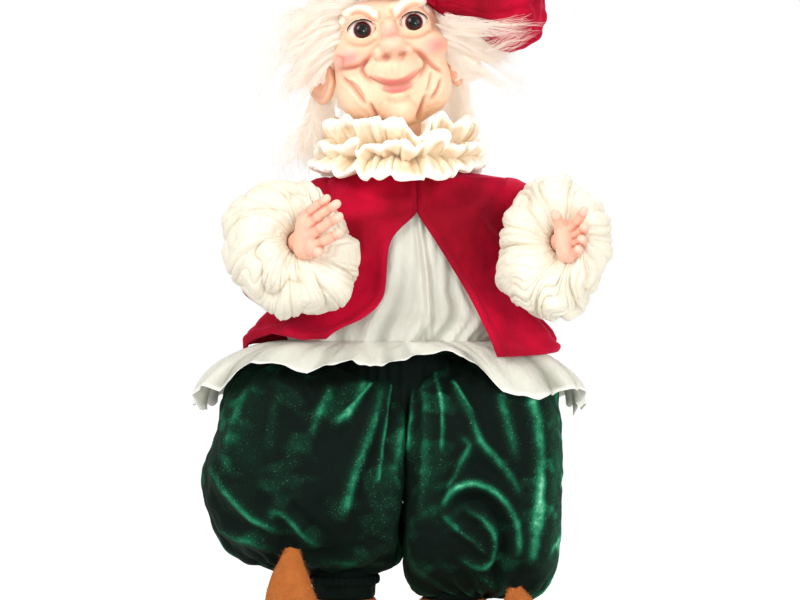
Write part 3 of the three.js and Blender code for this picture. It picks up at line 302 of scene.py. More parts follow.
def linked(name, points, faces):
    """A smooth mesh from points of the drawing."""
    mesh = bpy.data.meshes.new(name)
    mesh.from_pydata(placed(points).tolist(), [], faces)
    mesh.polygons.foreach_set("use_smooth", [True] * len(mesh.polygons))
    mesh.update()
    made = bpy.data.objects.new(name, mesh)
    scene.collection.objects.link(made)
    return made


def skin(name, grid, ends="capped"):
    """A mesh over a grid, closed round its columns, with its two ends capped, a loop or open."""
    columns, rows = grid.shape[:2]
    points = grid.reshape(-1, 3)
    faces = grid_faces(columns, rows, ends == "loop")
    if ends == "capped":
        low, high, top = len(points), len(points) + 1, rows - 1
        ring = np.arange(columns) * rows
        after = np.roll(ring, -1)
        points = np.vstack([points, grid[:, [0, -1]].mean(0)])
        faces += np.stack([0 * ring + low, after, ring], -1).tolist()
        faces += np.stack([0 * ring + high, ring + top, after + top], -1).tolist()
    return linked(name, points, faces)


def wander(points, size, seed, waves=8):
    """Smooth, seeded unevenness, mostly between -1 and 1, with humps about size apart."""
    chance = np.random.default_rng(seed)
    total = np.zeros(points.shape[:-1])
    for _ in range(waves):
        way = chance.normal(size=points.shape[-1])
        way *= 2 * np.pi / size * chance.uniform(0.6, 1.5) / np.linalg.norm(way)
        total += np.sin(points @ way + chance.uniform(0, 2 * np.pi))
    return total / math.sqrt(waves)


def line_distance(points, line):
    """Distance from points to a broken line, and how far along it the nearest place is, 0 to 1."""
    line = np.array(line, float)
    best = np.full(points.shape[:-1], 1e9)
    along = np.zeros(points.shape[:-1])
    for k, (a, b) in enumerate(zip(line[:-1], line[1:])):
        run = b - a
        t = np.clip(((points - a) @ run) / (run @ run), 0, 1)
        away = np.linalg.norm(points - a - t[..., None] * run, axis=-1)
        along = np.where(away < best, (k + t) / (len(line) - 1), along)
        best = np.minimum(best, away)
    return best, along


def rounded(line, cuts=3, closed=False):
    """A broken line with its corners cut into a smooth curve. An open one keeps its ends."""
    line = np.array(line, float)
    for _ in range(cuts):
        a, b = (line, np.roll(line, -1, axis=0)) if closed else (line[:-1], line[1:])
        eased_line = np.stack([a * 0.75 + b * 0.25, a * 0.25 + b * 0.75], 1).reshape(-1, line.shape[1])
        line = eased_line if closed else np.vstack([line[:1], eased_line, line[-1:]])
    return line


def bell(offset, width, power=2):
    """1 where the offset is 0, falling off to nothing beyond its width."""
    return np.exp(-((offset / width) ** power))


def stroke(points, line, inset, power=0.5):
    """Distance from points to a rounded line, and a strength that fades out at its ends."""
    away, along = line_distance(points, rounded(line))
    return away, np.sin(np.pi * np.clip(along * (1 - 2 * inset) + inset, 0, 1)) ** power


def eye_opening(points):
    """Share of the way from the middle of the nearer eye to its rim, seen from the front."""
    u = (np.abs(points[..., 0]) - EYE_MIDDLE[0]) / EYE_OPENING[0]
    v = points[..., 2] - EYE_MIDDLE[2] - CORNER_RISE * np.abs(u)
    v = np.where(v > 0, v / EYE_OPENING[1], v / EYE_OPENING[2])
    return np.sqrt(u ** 2 + v ** 2 * (1 + CORNER_POINT * u ** 2))


def opened_eyes(base):
    def field(points):
        rim = (eye_opening(points) - 1) * EYE_OPENING[2]
        hole = np.maximum(rim, points[..., 1] - EYE_MIDDLE[1] - 3.5)
        return np.maximum(base(points), -hole)

    return field


skull = melt(8, egg((0, 6, 27), SKULL), egg((0, -3, 3), (35, 29, 34)))
cheeks = melt(7, skull, *pair(22, -20, 15.5, (13.5, 13, 10.5)), *pair(20, -14, -8, (14.5, 15, 16)))
muzzle = melt(3, cheeks, egg((0, -27, 5.5), (16, 13.5, 11.5)), egg((0, -24, -21), (10.5, 12, 9.5)))
bridge = melt(5, muzzle, egg((0, -36, 25), (5.5, 8, 10)), *pair(15, -26, 42.5, (11, 6.5, 4.5)))
nose = melt(2.5, bridge, egg((0, -43.5, 17.5), (7.8, 8, 6.6)), *pair(8.3, -38, 14.2, (4.2, 5.5, 4.3)))
sockets = scoop(2.5, nose, *pair(EYE_MIDDLE[0], -38.5, EYE_MIDDLE[2], (9.8, 8.5, 6.6)))
lids = melt(1.6, sockets, *pair(*EYE_MIDDLE, (EYE_R + 1.5,) * 3))
nostrils = scoop(0.8, opened_eyes(lids), *pair(4.9, -41.5, 10.2, (2.5, 3.6, 2.6)))

# Each crease: its line across the face, seen from the front, its depth and its width.
CREASES = [
    ([(12.6, 14), (17, 11.5), (20, 7), (18.5, 2.3), (14.6, -1.5)], 1.5, 1.3),
    ([(-12.6, 14), (-17, 11.5), (-20, 7), (-18.5, 2.3), (-14.6, -1.5)], 1.5, 1.3),
    ([(-16, 11.5), (-20, 9.2), (-27.4, 8.6), (-32, 9.6)], 1.7, 1.3),
    ([(16, 11), (20.5, 6.5), (25, 1.5), (29, -1)], 1.7, 1.4),
    ([(-31, 4), (-28, -0.2), (-24.5, -7), (-20.8, -13.8)], 1.7, 1.1),
    ([(-27, 1.5), (-23.4, -4), (-20.6, -10.3)], 1.1, 0.9),
    ([(27.5, -6), (24.5, -12), (20, -17)], 1.4, 1.1),
    ([(22, -1), (20.2, -6.5), (17.6, -12)], 1.0, 0.9),
    ([(-17.6, -14.5), (-15, -21.5), (-12, -27)], 1.4, 1.1),
    ([(16.4, -14.5), (12.8, -21), (9.5, -26)], 1.4, 1.1),
    ([(-7.5, -13.4), (0, -15.2), (7.5, -13.4)], 0.9, 1.6),
    ([(-25.5, 24.5), (-21, 21.6), (-14, 20.8), (-8, 23.2)], 0.9, 1.1),
    ([(25.5, 24.5), (21, 21.6), (14, 20.8), (8, 23.2)], 0.9, 1.1),
    ([(-27, 37), (-22.2, 41), (-17, 41.8), (-11.5, 39.4), (-7.6, 34.6)], 1.2, 1.1),
    ([(27, 36), (22.2, 40), (17, 41), (11.5, 38.8), (7.4, 34.6)], 1.2, 1.1),
    ([(-4.5, 35), (-3.2, 41)], 0.8, 0.9),
    ([(4.5, 35), (3.2, 41)], 0.8, 0.9),
    ([(-20, 49.5), (-8, 52), (8, 52), (20, 49.5)], 0.7, 1.2),
    ([(-34, 18), (-30, 15), (-31, 11)], 0.8, 1.0),
    ([(-2.4, 8), (-2.2, 0)], 0.2, 1.2),
    ([(2.4, 8), (2.2, 0)], 0.2, 1.2),
]
MOUTH = [(-15.5, 1.6), (-12, -2.2), (-6.5, -5.2), (0, -6.4), (6.5, -5.2), (12, -2.2), (15.5, 1.6)]
UPPER_LIP = [(-13.5, 1.0), (-9, -1.9), (-4, -3.8), (0, -4.3), (4, -3.8), (9, -1.9), (13.5, 1.0)]
LOWER_LIP = [(-9, -5.8), (-5, -7.7), (0, -8.5), (5, -7.7), (9, -5.8)]
BROW = [(-27.5, 38), (-23.5, 43), (-17.5, 45.4), (-11.5, 43.6), (-7, 39)]

face_rays, _, face_points = shell((0, 0, 10), nostrils, 60, 340, 300, front=0.55)

front = face_points[..., [0, 2]]
facing = np.clip((-face_points[..., 1] - 4) / 6, 0, 1)
# Painted shade: a warm brown where the face sinks into its creases.
painted_shade = np.zeros(front.shape[:-1])
press = np.zeros(front.shape[:-1])
for line, depth, width in CREASES:
    away, fade = stroke(front, line, 0.03)
    groove = bell(away, width)
    lip = bell(away - 2.1 * width, 1.2 * width)
    press += fade * depth * (0.3 * lip - groove)
    painted_shade += fade * depth * 0.75 * groove
mouth_away, mouth_fade = stroke(front, MOUTH, 0.02, 0.35)
press -= mouth_fade * 1.6 * bell(mouth_away, 0.75)
upper_away, upper_fade = stroke(front, UPPER_LIP, 0.02, 0.35)
lower_away, lower_fade = stroke(front, LOWER_LIP, 0.02)
press += 0.8 * bell(upper_away, 1.6) + 1.6 * lower_fade * bell(lower_away, 1.9)
brow_away = np.minimum(
    line_distance(front, rounded(BROW))[0],
    line_distance(front, rounded([(-u, v) for u, v in BROW]))[0],
)
brow_strokes = np.sin(front[..., 0] * 5.5 + 1.4 * np.sin(front[..., 1] * 1.3)) * 0.16
press += bell(brow_away, 2.0) * (0.6 + brow_strokes)
lid_rim = eye_opening(face_points)
press += 0.45 * bell(lid_rim - 1.07, 0.07)
press += 0.10 * wander(face_points, 5, seed=3) + 0.16 * wander(face_points, 13, seed=4)
press = np.where(lid_rim < 1.0, 0, press)
face_points = face_points + face_rays * (press * facing)[..., None]

head = skin("head", from_head(face_points))


def paint_mask(piece, name, values):
    """Stores how strongly a coat of paint covers each point of a piece."""
    values = np.asarray(values, float).reshape(-1)
    spare = len(piece.data.vertices) - len(values)
    values = np.clip(np.concatenate([values, np.zeros(spare)]), 0, 1)
    coat = piece.data.attributes.new(name, "FLOAT", "POINT")
    coat.data.foreach_set("value", values.astype(np.float32))


def dressed(piece, paint, slot, body, *nodes):
    """Gives a piece its finish, its body (None where it blends) and the nodes it stands for."""
    piece.data.materials.append(paint)
    if body:
        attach(piece, body)
    if nodes:
        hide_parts(*nodes)
    return piece


u, v = front[..., 0], front[..., 1]
lips = np.maximum(upper_fade * bell(upper_away, 1.7, 4), lower_fade * bell(lower_away, 1.8, 4))
cheek_blush = bell(np.abs(u) - 27, 9.5) * bell(v - 14.5, 5.2)
nose_blush = 0.8 * bell(u, 5) * bell(v - 24.5, 4.5)
nose_blush += 0.35 * bell(u, 9) * bell(v - 14, 4)
upper_lid = bell(lid_rim - 1.28, 0.16) * np.clip((v - EYE_MIDDLE[2]) / 4, 0, 1)
nostril_dark = bell(np.abs(u) - 5.0, 3.0) * bell(v - 11.3, 1.5)
paint_mask(head, "blush", facing * (cheek_blush + nose_blush))
paint_mask(head, "lip", facing * lips * mouth_fade)
# More painted shade in the nostrils, on the upper lids and along the mouth line.
painted_shade += 1.1 * nostril_dark + 0.5 * upper_lid + 0.9 * bell(mouth_away, 0.6)
paint_mask(head, "painted_shade", facing * painted_shade)
paint_mask(head, "brow", facing * bell(brow_away, 1.9, 4))


def srgb(red, green, blue):
    """A colour read as red, green and blue from 0 to 255."""
    share = np.array([red, green, blue]) / 255
    linear = np.where(share <= 0.04045, share / 12.92, ((share + 0.055) / 1.055) ** 2.4)
    return (*linear, 1.0)


def mask(tree, name):
    return node(tree, "Attribute", "Fac", setting={"attribute_name": name})


def over(tree, share, below, above):
    """One colour laid over another."""
    return node(tree, "MixRGB", Fac=share, Color1=below, Color2=above)


def scaled(tree, value, factor):
    return math_node(tree, "MULTIPLY", value, factor)


def row_place(tree):
    return node(tree, "TexCoord", "Object")


def grain(tree, scale, detail=3.0, stretch=None):
    """Noise of so many humps a metre, drawn out where a stretch is given."""
    place = row_place(tree)
    if stretch is not None:
        place = node(tree, "Mapping", Vector=place, Scale=stretch)
    return node(tree, "TexNoise", "Fac", Vector=place, Scale=scale, Detail=detail)


def bumped(tree, height, millimetres):
    """A shader normal for a relief of that height."""
    return node(tree, "Bump", Height=height, Distance=millimetres / 1000, Strength=1.0)


def principled(tree, tone, **looks):
    """Ends a material in one surface of that colour and those looks."""
    close_material(tree, node(tree, "BsdfPrincipled", Base_Color=tone, **looks))


skin_paint, tree = new_material("painted_resin")
tone = over(tree, scaled(tree, grain(tree, 130, 4), 0.5), srgb(252, 216, 184), srgb(245, 198, 163))
tone = over(tree, scaled(tree, mask(tree, "blush"), 0.72), tone, srgb(238, 122, 124))
tone = over(tree, scaled(tree, mask(tree, "lip"), 0.9), tone, srgb(222, 112, 112))
# Painted shade: a warm brown in the creases and hollows of the face, ears, neck and hands.
tone = over(tree, scaled(tree, mask(tree, "painted_shade"), 0.66), tone, srgb(186, 84, 56))
tone = over(tree, scaled(tree, mask(tree, "brow"), 0.9), tone, srgb(250, 240, 226))
principled(
    tree, tone, Roughness=0.46, Subsurface_Weight=0.12,
    Subsurface_Radius=(0.004, 0.0016, 0.0009), Subsurface_Scale=1.0, Specular_IOR_Level=0.4,
    Normal=bumped(tree, grain(tree, 900, 2), 0.05),
)
dressed(head, skin_paint, "skin", "head", "head_shell")

# The neck runs down from the chin into the ruff.
NECK_RINGS = np.array([(13.4, 318), (12.8, 326), (12.6, 336), (13.6, 346), (15.5, 354)])
turn = ring_angles(64)
neck_z = np.linspace(318, 354, 24)[None, :]
neck_r = np.interp(neck_z, NECK_RINGS[:, 1], NECK_RINGS[:, 0])
neck_r = neck_r + 0.5 * np.cos(3 * turn + 1) * bell(neck_z - 336, 9)
neck = skin("neck", round_grid(turn, neck_r, neck_r, neck_z, NECK))
# Painted shade all over the neck, which sits under the chin.
paint_mask(neck, "painted_shade", 0.55 * np.ones(neck_r.shape))
dressed(neck, skin_paint, "skin", "head")

# Ears: shallow bowls with a rolled rim, set low and far back.
# Each ear: its side, its middle, its radii and how far it flares out.
EARS = {
    "ear_right": (-1, (-42.5, 3, 6.0), (4.6, 9.8, 14.2), 0.8),
    "ear_left": (1, (39.5, 3, 2.5), (4.6, 9.0, 12.5), 0.5),
}
for name, (sign, middle, radii, flare) in EARS.items():
    rays = star_rays(140, 110)
    bowl = rays * radii
    outward = sign * rays[..., 0]
    rim = np.hypot(rays[..., 1], rays[..., 2])
    lobe = np.clip((-rays[..., 2] - 0.35) / 0.5, 0, 1)
    helix = 1.5 * bell(rim - 0.86, 0.12) * (1 - 0.8 * lobe)
    hollow = 2.9 * bell(rim - 0.30, 0.34) * bell(rays[..., 2] - 0.12, 0.62)
    fold = 0.9 * bell(rim - 0.58, 0.1) * (1 - lobe)
    shown = np.clip(outward * 3, 0, 1)
    bowl = bowl + rays * (shown * (helix + fold - hollow))[..., None]
    lean = np.array(Matrix.Rotation(-sign * flare, 3, "Z") @ Matrix.Rotation(-sign * 0.16, 3, "Y"))
    bowl = bowl @ lean.T + np.array(middle)
    made = skin(name, from_head(bowl))
    # Painted shade in the middle of the ear's bowl and in the groove inside its rim, and a little all over.
    paint_mask(made, "painted_shade", shown * (0.55 * bell(rim, 0.5) + 0.3 * bell(rim - 0.72, 0.07)) + 0.12)
    paint_mask(made, "blush", 0.35 * bell(rays[..., 2] - 0.9, 0.5) + 0.2)
    dressed(made, skin_paint, "skin", "head")


# Eyes
# Glass-like balls set behind the lids: a dark brown iris with a rosy rim on warm white. They
# look almost straight out of the face and turn with it.

GAZE = np.array([0.02, -1.0, 0.04])
eye_paint, tree = new_material("eye_glass")
EYE_RINGS = [
    (0.0, (6, 4, 4)), (0.32, (8, 5, 5)), (0.36, (52, 20, 16)), (0.47, (60, 24, 20)), (0.52, (24, 8, 10)),
    (0.56, (150, 78, 84)), (0.61, (222, 164, 160)), (0.68, (248, 236, 230)), (1.0, (240, 220, 212)),
]


def ramped(tree, share, stops):
    """Colours by share, from stops of a share and a colour in rising order."""
    ramp = node(tree, "ValToRGB", Fac=share).node
    ramp.color_ramp.elements.remove(ramp.color_ramp.elements[1])
    for k, (spot, colour) in enumerate(stops):
        stop = ramp.color_ramp.elements.new(spot) if k else ramp.color_ramp.elements[0]
        stop.position, stop.color = spot, srgb(*colour)
    return ramp.outputs["Color"]


def unit(way, least=0.0):
    """Ways made one long."""
    return way / (np.linalg.norm(way, axis=-1, keepdims=True) + least)


principled(
    tree, ramped(tree, mask(tree, "gaze"), EYE_RINGS), Roughness=0.16,
    Coat_Weight=0.35, Coat_Roughness=0.03, Specular_IOR_Level=0.15,
    Normal=bumped(tree, grain(tree, 500, 1), 0.01),
)
for name, sign in (("eye_right", -1), ("eye_left", 1)):
    rays = star_rays(120, 90, front=0.6)
    middle = EYE_MIDDLE * np.array([sign, 1, 1])
    away = np.linalg.norm(rays - unit(GAZE), axis=-1)
    cornea = 0.55 * bell(away, 0.42, 4)
    made = skin(name + "_ball", from_head(middle + rays * (EYE_R + cornea)[..., None]))
    paint_mask(made, "gaze", away)
    dressed(made, eye_paint, "eye", "head", name)

# A dark line is painted along the edge of each upper lid.
LASH_R = 0.55
lash_paint, tree = new_material("lash_paint")
tone = over(tree, grain(tree, 900, 2), srgb(34, 16, 14), srgb(16, 8, 8))
principled(tree, tone, Roughness=0.5)
sweep = np.linspace(0.02, np.pi - 0.25, 60)
across = -np.cos(sweep)
rise = np.sqrt((1 - across ** 2) / (1 + CORNER_POINT * across ** 2)) * EYE_OPENING[1]
for side, sign in (("right", -1), ("left", 1)):
    path = np.stack([
        sign * (EYE_MIDDLE[0] - EYE_OPENING[0] * across),
        0 * across,
        EYE_MIDDLE[2] + CORNER_RISE * np.abs(across) + rise,
    ], -1)
    flat_off = path[:, [0, 2]] - [sign * EYE_MIDDLE[0], EYE_MIDDLE[2]]
    path[:, 1] = EYE_MIDDLE[1] - np.sqrt((EYE_R + 1.3) ** 2 - (flat_off ** 2).sum(-1))
    away = unit(path - EYE_MIDDLE * np.array([sign, 1, 1]))
    aside = np.cross(unit(np.gradient(path, axis=0)), away)
    ring = ring_angles(12)[None]
    thick = (LASH_R * (0.25 + 0.95 * np.sin(sweep) ** 0.6))[:, None, None]
    grid = path[:, None] + thick * (0.6 * np.cos(ring) * away[:, None] + np.sin(ring) * aside[:, None])
    line = skin(f"lash_line_{side}", from_head(np.swapaxes(grid, 0, 1)))
    dressed(line, lash_paint, "eye", "head")


# Hair
# White mohair glued to the head under the hat: a full mass behind, a blown tuft over each ear
# and loose locks that fall behind the ears. Fine curly strands lie over a soft felted base.

HEAD_DROP = HEAD_AT[2] - 370.0
STRAND_R = 0.17
STRAND_STEPS = 13

hair_paint, tree = new_material("mohair")
tone = over(tree, grain(tree, 200, 4, (1, 1, 0.35)), srgb(255, 252, 248), srgb(246, 236, 224))
# Its emission is a painted glow that lightens the shade among the strands.
shine = node(
    tree, "BsdfPrincipled", Base_Color=tone, Roughness=0.5, Sheen_Weight=0.3, Sheen_Roughness=0.4,
    Emission_Color=srgb(255, 244, 232), Emission_Strength=0.3,
    Normal=bumped(tree, grain(tree, 1500, 3, (1, 1, 0.15)), 0.5),
)
close_material(tree, node(tree, "MixShader", Fac=0.4, x1=shine, x2=node(tree, "BsdfTranslucent", Color=tone)))

wig_form = melt(6, egg((0, 7, 28), (39.5, 44.5, 40.5)), egg((0, 26, 6), (37, 27, 30)))
wig_middle = np.array([0.0, 10.0, 20.0])
wig_rays, wig_far, wig_points = shell(wig_middle, wig_form, 75, 200, 130)
face_side = 1 / (1 + np.exp((wig_points[..., 1] + 1) / 2.5)) / (1 + np.exp((wig_points[..., 2] - 47) / 3))
wig_far = wig_far * (1 - 0.3 * face_side)
wig_far = wig_far + (1.3 * wander(wig_points, 16, 11) + 0.8 * wander(wig_points, 6, 12))
wig = skin("hair_mass", from_head(wig_middle + wig_rays * wig_far[..., None]))
dressed(wig, hair_paint, "hair", "head", "hair_back")

# Each tuft: its middle, its radii and its seed.
TUFTS = {
    "hair_right": ((-47, 6, 393 + HEAD_DROP), (13, 14, 31), 61),
    "hair_left": ((43, 6, 385 + HEAD_DROP), (11, 12, 15), 62),
}
for name, (middle, radii, seed) in TUFTS.items():
    rays, far, points = shell(middle, egg(middle, radii), 60, 130, 90)
    far = far + 1.8 * wander(points, 15, seed) + 1.3 * wander(points, 6, seed + 9)
    dressed(skin(name + "_tuft", np.array(middle) + rays * far[..., None]), hair_paint, "hair", "head", name)


def in_ball(chance, count):
    """Random places in a ball of radius 1, a little closer together towards its middle."""
    return unit(chance.normal(size=(count, 3))) * chance.uniform(0, 1, (count, 1)) ** 0.4


def tubes(name, lines, radii):
    """Closed three-sided tubes along many lines: lines is strands x steps x 3."""
    strands, steps = lines.shape[:2]
    run = unit(np.gradient(lines, axis=1), 1e-9)
    side = unit(np.cross(run, np.array([0.31, 0.87, -0.38])), 1e-9)
    rise = np.cross(run, side)
    turns = ring_angles(3)
    ring = side[:, :, None] * np.cos(turns) + rise[:, :, None] * np.sin(turns)
    points = (lines[:, :, None] + ring * radii[None, :, None, None]).reshape(-1, 3)
    first = np.arange(strands)[:, None, None] * steps * 3
    begun = first + np.arange(steps - 1)[None, :, None] * 3
    a, b = begun + np.arange(3), begun + (np.arange(3) + 1) % 3
    quads = np.stack([a, b, b + 3, a + 3], -1).reshape(-1, 4)
    low = first[:, 0] + np.array([2, 1, 0])
    high = first[:, 0] + (steps - 1) * 3 + np.array([0, 1, 2])
    return linked(name, points, quads.tolist() + low.tolist() + high.tolist())


def lock_lines(chance, locks, curl, strands, *spots):
    """Strands of wavy locks. The spots are the middle and spread of their roots, bellies and tips."""
    same = in_ball(chance, locks)
    root, belly, tip = (
        np.array(middle, float) + (same + 0.35 * in_ball(chance, locks)) * np.array(spread, float)
        for middle, spread in zip(spots[::2], spots[1::2])
    )
    t = np.linspace(0, 1, STRAND_STEPS)[None, :, None]
    guide = (1 - t) ** 2 * root[:, None] + 2 * t * (1 - t) * belly[:, None] + t ** 2 * tip[:, None]
    wave = chance.uniform(0.8, 2.2, (locks, 1, 1)) * 2 * np.pi * t + chance.uniform(0, 7, (locks, 1, 1))
    way = in_ball(chance, locks)[:, None] * curl
    other = in_ball(chance, locks)[:, None] * curl
    guide = guide + t ** 0.8 * (way * np.sin(wave) + other * np.cos(wave))
    spread = chance.uniform(1.3, 2.8, (locks, 1, 1, 1))
    spread = spread * (0.55 + 0.45 * np.cos(2.6 * t) ** 2 + 0.5 * t ** 3)[:, None]
    offset = in_ball(chance, locks * strands).reshape(locks, strands, 1, 3)
    stray = in_ball(chance, locks * strands).reshape(locks, strands, 1, 3)
    stray = stray * (2.2 * t ** 2)[:, None] * chance.exponential(0.6, (locks, strands, 1, 1))
    lines = guide[:, None] + offset * spread + stray
    keep = chance.uniform(0.72, 1.0, (locks, strands, 1, 1))
    shorter = lines[:, :, :1] + (lines - lines[:, :, :1]) * keep
    return shorter.reshape(-1, STRAND_STEPS, 3)


# Each group of locks: how many, their curl, the strands of each, then the middle and spread of
# their roots, bellies and tips.
LOCKS = {
    "hair_locks_right": [
        (46, 2.4, 26, (-33, -12, 398), (4, 9, 13), (-51, -14, 391), (7, 9, 17), (-66, -7, 371), (9, 11, 20)),
        (26, 2.6, 26, (-26, -17, 414), (10, 9, 4), (-50, -14, 416), (8, 9, 7), (-67, -4, 394), (9, 10, 13)),
        (34, 2.6, 26, (-42, 14, 372), (7, 9, 14), (-57, 13, 345), (7, 9, 12), (-55, 3, 319), (9, 11, 9)),
    ],
    "hair_wisps_right": [
        (22, 5.0, 5, (-58, -4, 395), (10, 10, 24), (-76, -8, 396), (6, 10, 24), (-82, -8, 368), (8, 12, 26)),
        (16, 5.0, 5, (-50, 6, 340), (8, 9, 12), (-66, 2, 334), (7, 10, 12), (-72, -6, 310), (9, 10, 10)),
        (10, 4.0, 5, (-52, -6, 412), (10, 10, 6), (-66, -8, 420), (8, 8, 7), (-74, -8, 402), (7, 9, 8)),
    ],
    "hair_locks_left": [
        (48, 1.8, 26, (31, -15, 401), (3, 9, 8), (49, -15, 392), (7, 9, 7), (67, -10, 384), (9, 9, 6)),
        (20, 2.2, 20, (33, -6, 390), (3, 8, 6), (44, -8, 380), (6, 8, 6), (56, -8, 374), (9, 9, 6)),
        (26, 2.0, 22, (39, 11, 378), (4, 8, 9), (46, 11, 354), (4, 8, 9), (47, 4, 331), (6, 8, 9)),
    ],
    "hair_wisps_left": [
        (12, 3.0, 4, (55, -24, 386), (7, 6, 5), (68, -40, 388), (7, 5, 6), (82, -42, 397), (8, 5, 8)),
        (14, 4.0, 4, (56, -8, 376), (9, 9, 5), (66, -10, 370), (8, 8, 5), (76, -8, 362), (9, 9, 7)),
        (16, 2.4, 14, (30, -24, 404), (4, 6, 6), (44, -34, 398), (6, 6, 6), (58, -40, 396), (8, 6, 7)),
        (12, 3.0, 7, (32, -30, 402), (3, 4, 5), (58, -50, 397), (6, 4, 5), (86, -50, 399), (10, 5, 8)),
    ],
    "hair_locks_back": [
        (60, 2.6, 26, (-3, 40, 402), (32, 9, 12), (-4, 58, 366), (36, 8, 14), (-4, 52, 334), (36, 9, 12)),
        (22, 2.6, 26, (-38, 24, 392), (6, 12, 14), (-50, 34, 364), (7, 12, 14), (-46, 28, 334), (9, 12, 12)),
        (22, 2.6, 26, (34, 24, 390), (5, 12, 12), (42, 34, 362), (6, 12, 14), (38, 30, 334), (8, 12, 10)),
    ],
}
strand_radii = STRAND_R * (1.05 - np.linspace(0, 1, STRAND_STEPS)) ** 0.5
for k, (name, groups) in enumerate(LOCKS.items()):
    chance = np.random.default_rng(700 + k)
    lines = np.vstack([lock_lines(chance, *group) for group in groups])
    lines[..., 2] += HEAD_DROP
    thin = 0.75 if "wisps" in name else 1.0
    dressed(tubes(name, lines, strand_radii * thin), hair_paint, "hair", "head")


# Hat
# A floppy cap of crimson velvet, gathered into a band round the head. Its full crown hangs over
# to the doll's left.

HAT_AT = (0, 7, 49)
HAT_TILT = Matrix.Rotation(math.radians(12), 4, "Y") @ Matrix.Rotation(math.radians(-8), 4, "X")
BAND_RADII = (31.6, 35.6)
BAND_HEIGHT = 9


def velvet(name, deep, middle, lit, sparkle=0.5, crush=60):
    """Cut pile that is dark where one looks into it, with a painted sheen where it turns away at a fold and
    painted glints in the pile.
    """
    made, tree = new_material(name)
    pile = grain(tree, crush, 5)
    steep = node(tree, "ValToRGB", Fac=pile).node
    steep.color_ramp.elements[0].position, steep.color_ramp.elements[1].position = 0.38, 0.66
    tone = over(tree, steep.outputs["Color"], srgb(*deep), srgb(*middle))
    # Painted sheen: the pile turns to the lit colour where it turns away from the eye, with painted glints in
    # bright specks.
    facing = node(tree, "LayerWeight", "Facing", Blend=0.35)
    tips = math_node(tree, "POWER", facing, 2.2)
    painted_glints = math_node(tree, "GREATER_THAN", grain(tree, 1500, 2), 1 - 0.36 * sparkle)
    tips = math_node(tree, "ADD", scaled(tree, tips, 0.55), scaled(tree, painted_glints, 0.35 * sparkle))
    tone = over(tree, tips, tone, srgb(*lit))
    relief = math_node(tree, "ADD", pile, scaled(tree, grain(tree, 900, 3), 0.25))
    principled(
        tree, tone, Roughness=0.85, Specular_IOR_Level=0.15,
        Sheen_Weight=0.35, Sheen_Roughness=0.35, Sheen_Tint=srgb(*lit),
        Normal=bumped(tree, relief, 0.9),
    )
    return made


crimson = velvet("crimson_velvet", (138, 0, 26), (190, 2, 46), (238, 56, 104), sparkle=0.25, crush=26)

crown_middle = np.array([4.0, 4.0, 428.0 + HEAD_DROP])
crown_form = melt(
    9,
    egg((-4, 8, 442 + HEAD_DROP), (55, 50, 21)),
    egg((44, -6, 436 + HEAD_DROP), (30, 34, 24)),
    egg((69, -17, 412 + HEAD_DROP), (24, 27, 25)),
)
crown_rays, crown_far, crown_points = shell(crown_middle, crown_form, 105, 380, 240)
crown_turn = np.arctan2(crown_points[..., 1] - 4, crown_points[..., 0] - 4)
gathered = np.clip((436 + HEAD_DROP - crown_points[..., 2]) / 22, 0, 1)
crown_far = crown_far + gathered * (1.9 * np.sin(23 * crown_turn + 2.0 * np.sin(3 * crown_turn)) ** 2 - 1.0)
crown_far = crown_far + 1.5 * wander(crown_points, 24, 21) + 0.9 * wander(crown_points, 10, 22)
# Folds across the front of the hanging lobe: the line, its depth and its width.
LOBE_FOLDS = [
    ([(44, 408), (54, 403), (66, 402), (80, 407), (90, 414)], 4.0, 2.4),
    ([(52, 396), (62, 391), (74, 391), (90, 398)], 4.2, 2.2),
    ([(60, 416), (72, 414), (84, 420)], 2.6, 2.4),
]
in_front = np.clip((-crown_points[..., 1] - 6) / 12, 0, 1)
for line, depth, width in LOBE_FOLDS:
    away, fade = stroke(crown_points[..., [0, 2]], line, 0.05)
    crown_far = crown_far - in_front * fade * depth * bell(away, width)
crown = skin("hat_crown_velvet", crown_middle + crown_rays * crown_far[..., None])
dressed(crown, crimson, "crimson_velvet", "head", "hat_crown")

around, across = ring_angles(420), ring_angles(26).T
pucker = 0.35 * np.sin(70 * around + 2 * np.sin(5 * around))
out = 5.9 + (1.7 + pucker) * np.sign(np.cos(across)) * np.abs(np.cos(across)) ** 0.7
up = (BAND_HEIGHT / 2 + 0.2 * pucker) * np.sign(np.sin(across)) * np.abs(np.sin(across)) ** 0.7
up = up + 0.8 * np.sin(2 * around + 1)
hat_turn = np.array(head_frame @ Matrix.Translation(HAT_AT) @ HAT_TILT)
band_grid = round_grid(around, BAND_RADII[0] + out, BAND_RADII[1] + out, up)
band_grid = band_grid @ hat_turn[:3, :3].T + hat_turn[:3, 3]
dressed(skin("hat_band_velvet", band_grid, "loop"), crimson, "crimson_velvet", "head", "hat_band")


# Ruff
# Three ruffles of crinkled cream organza gathered on a neck band, each a strip folded double so
# that its edge is soft. The upper ones stand about the chin; the lowest falls over the jacket.

RUFF_BAND_R = (14.0, 17.0)
RUFF_FLOOR = 311.35
RUFF_BAND_HEIGHT = 9


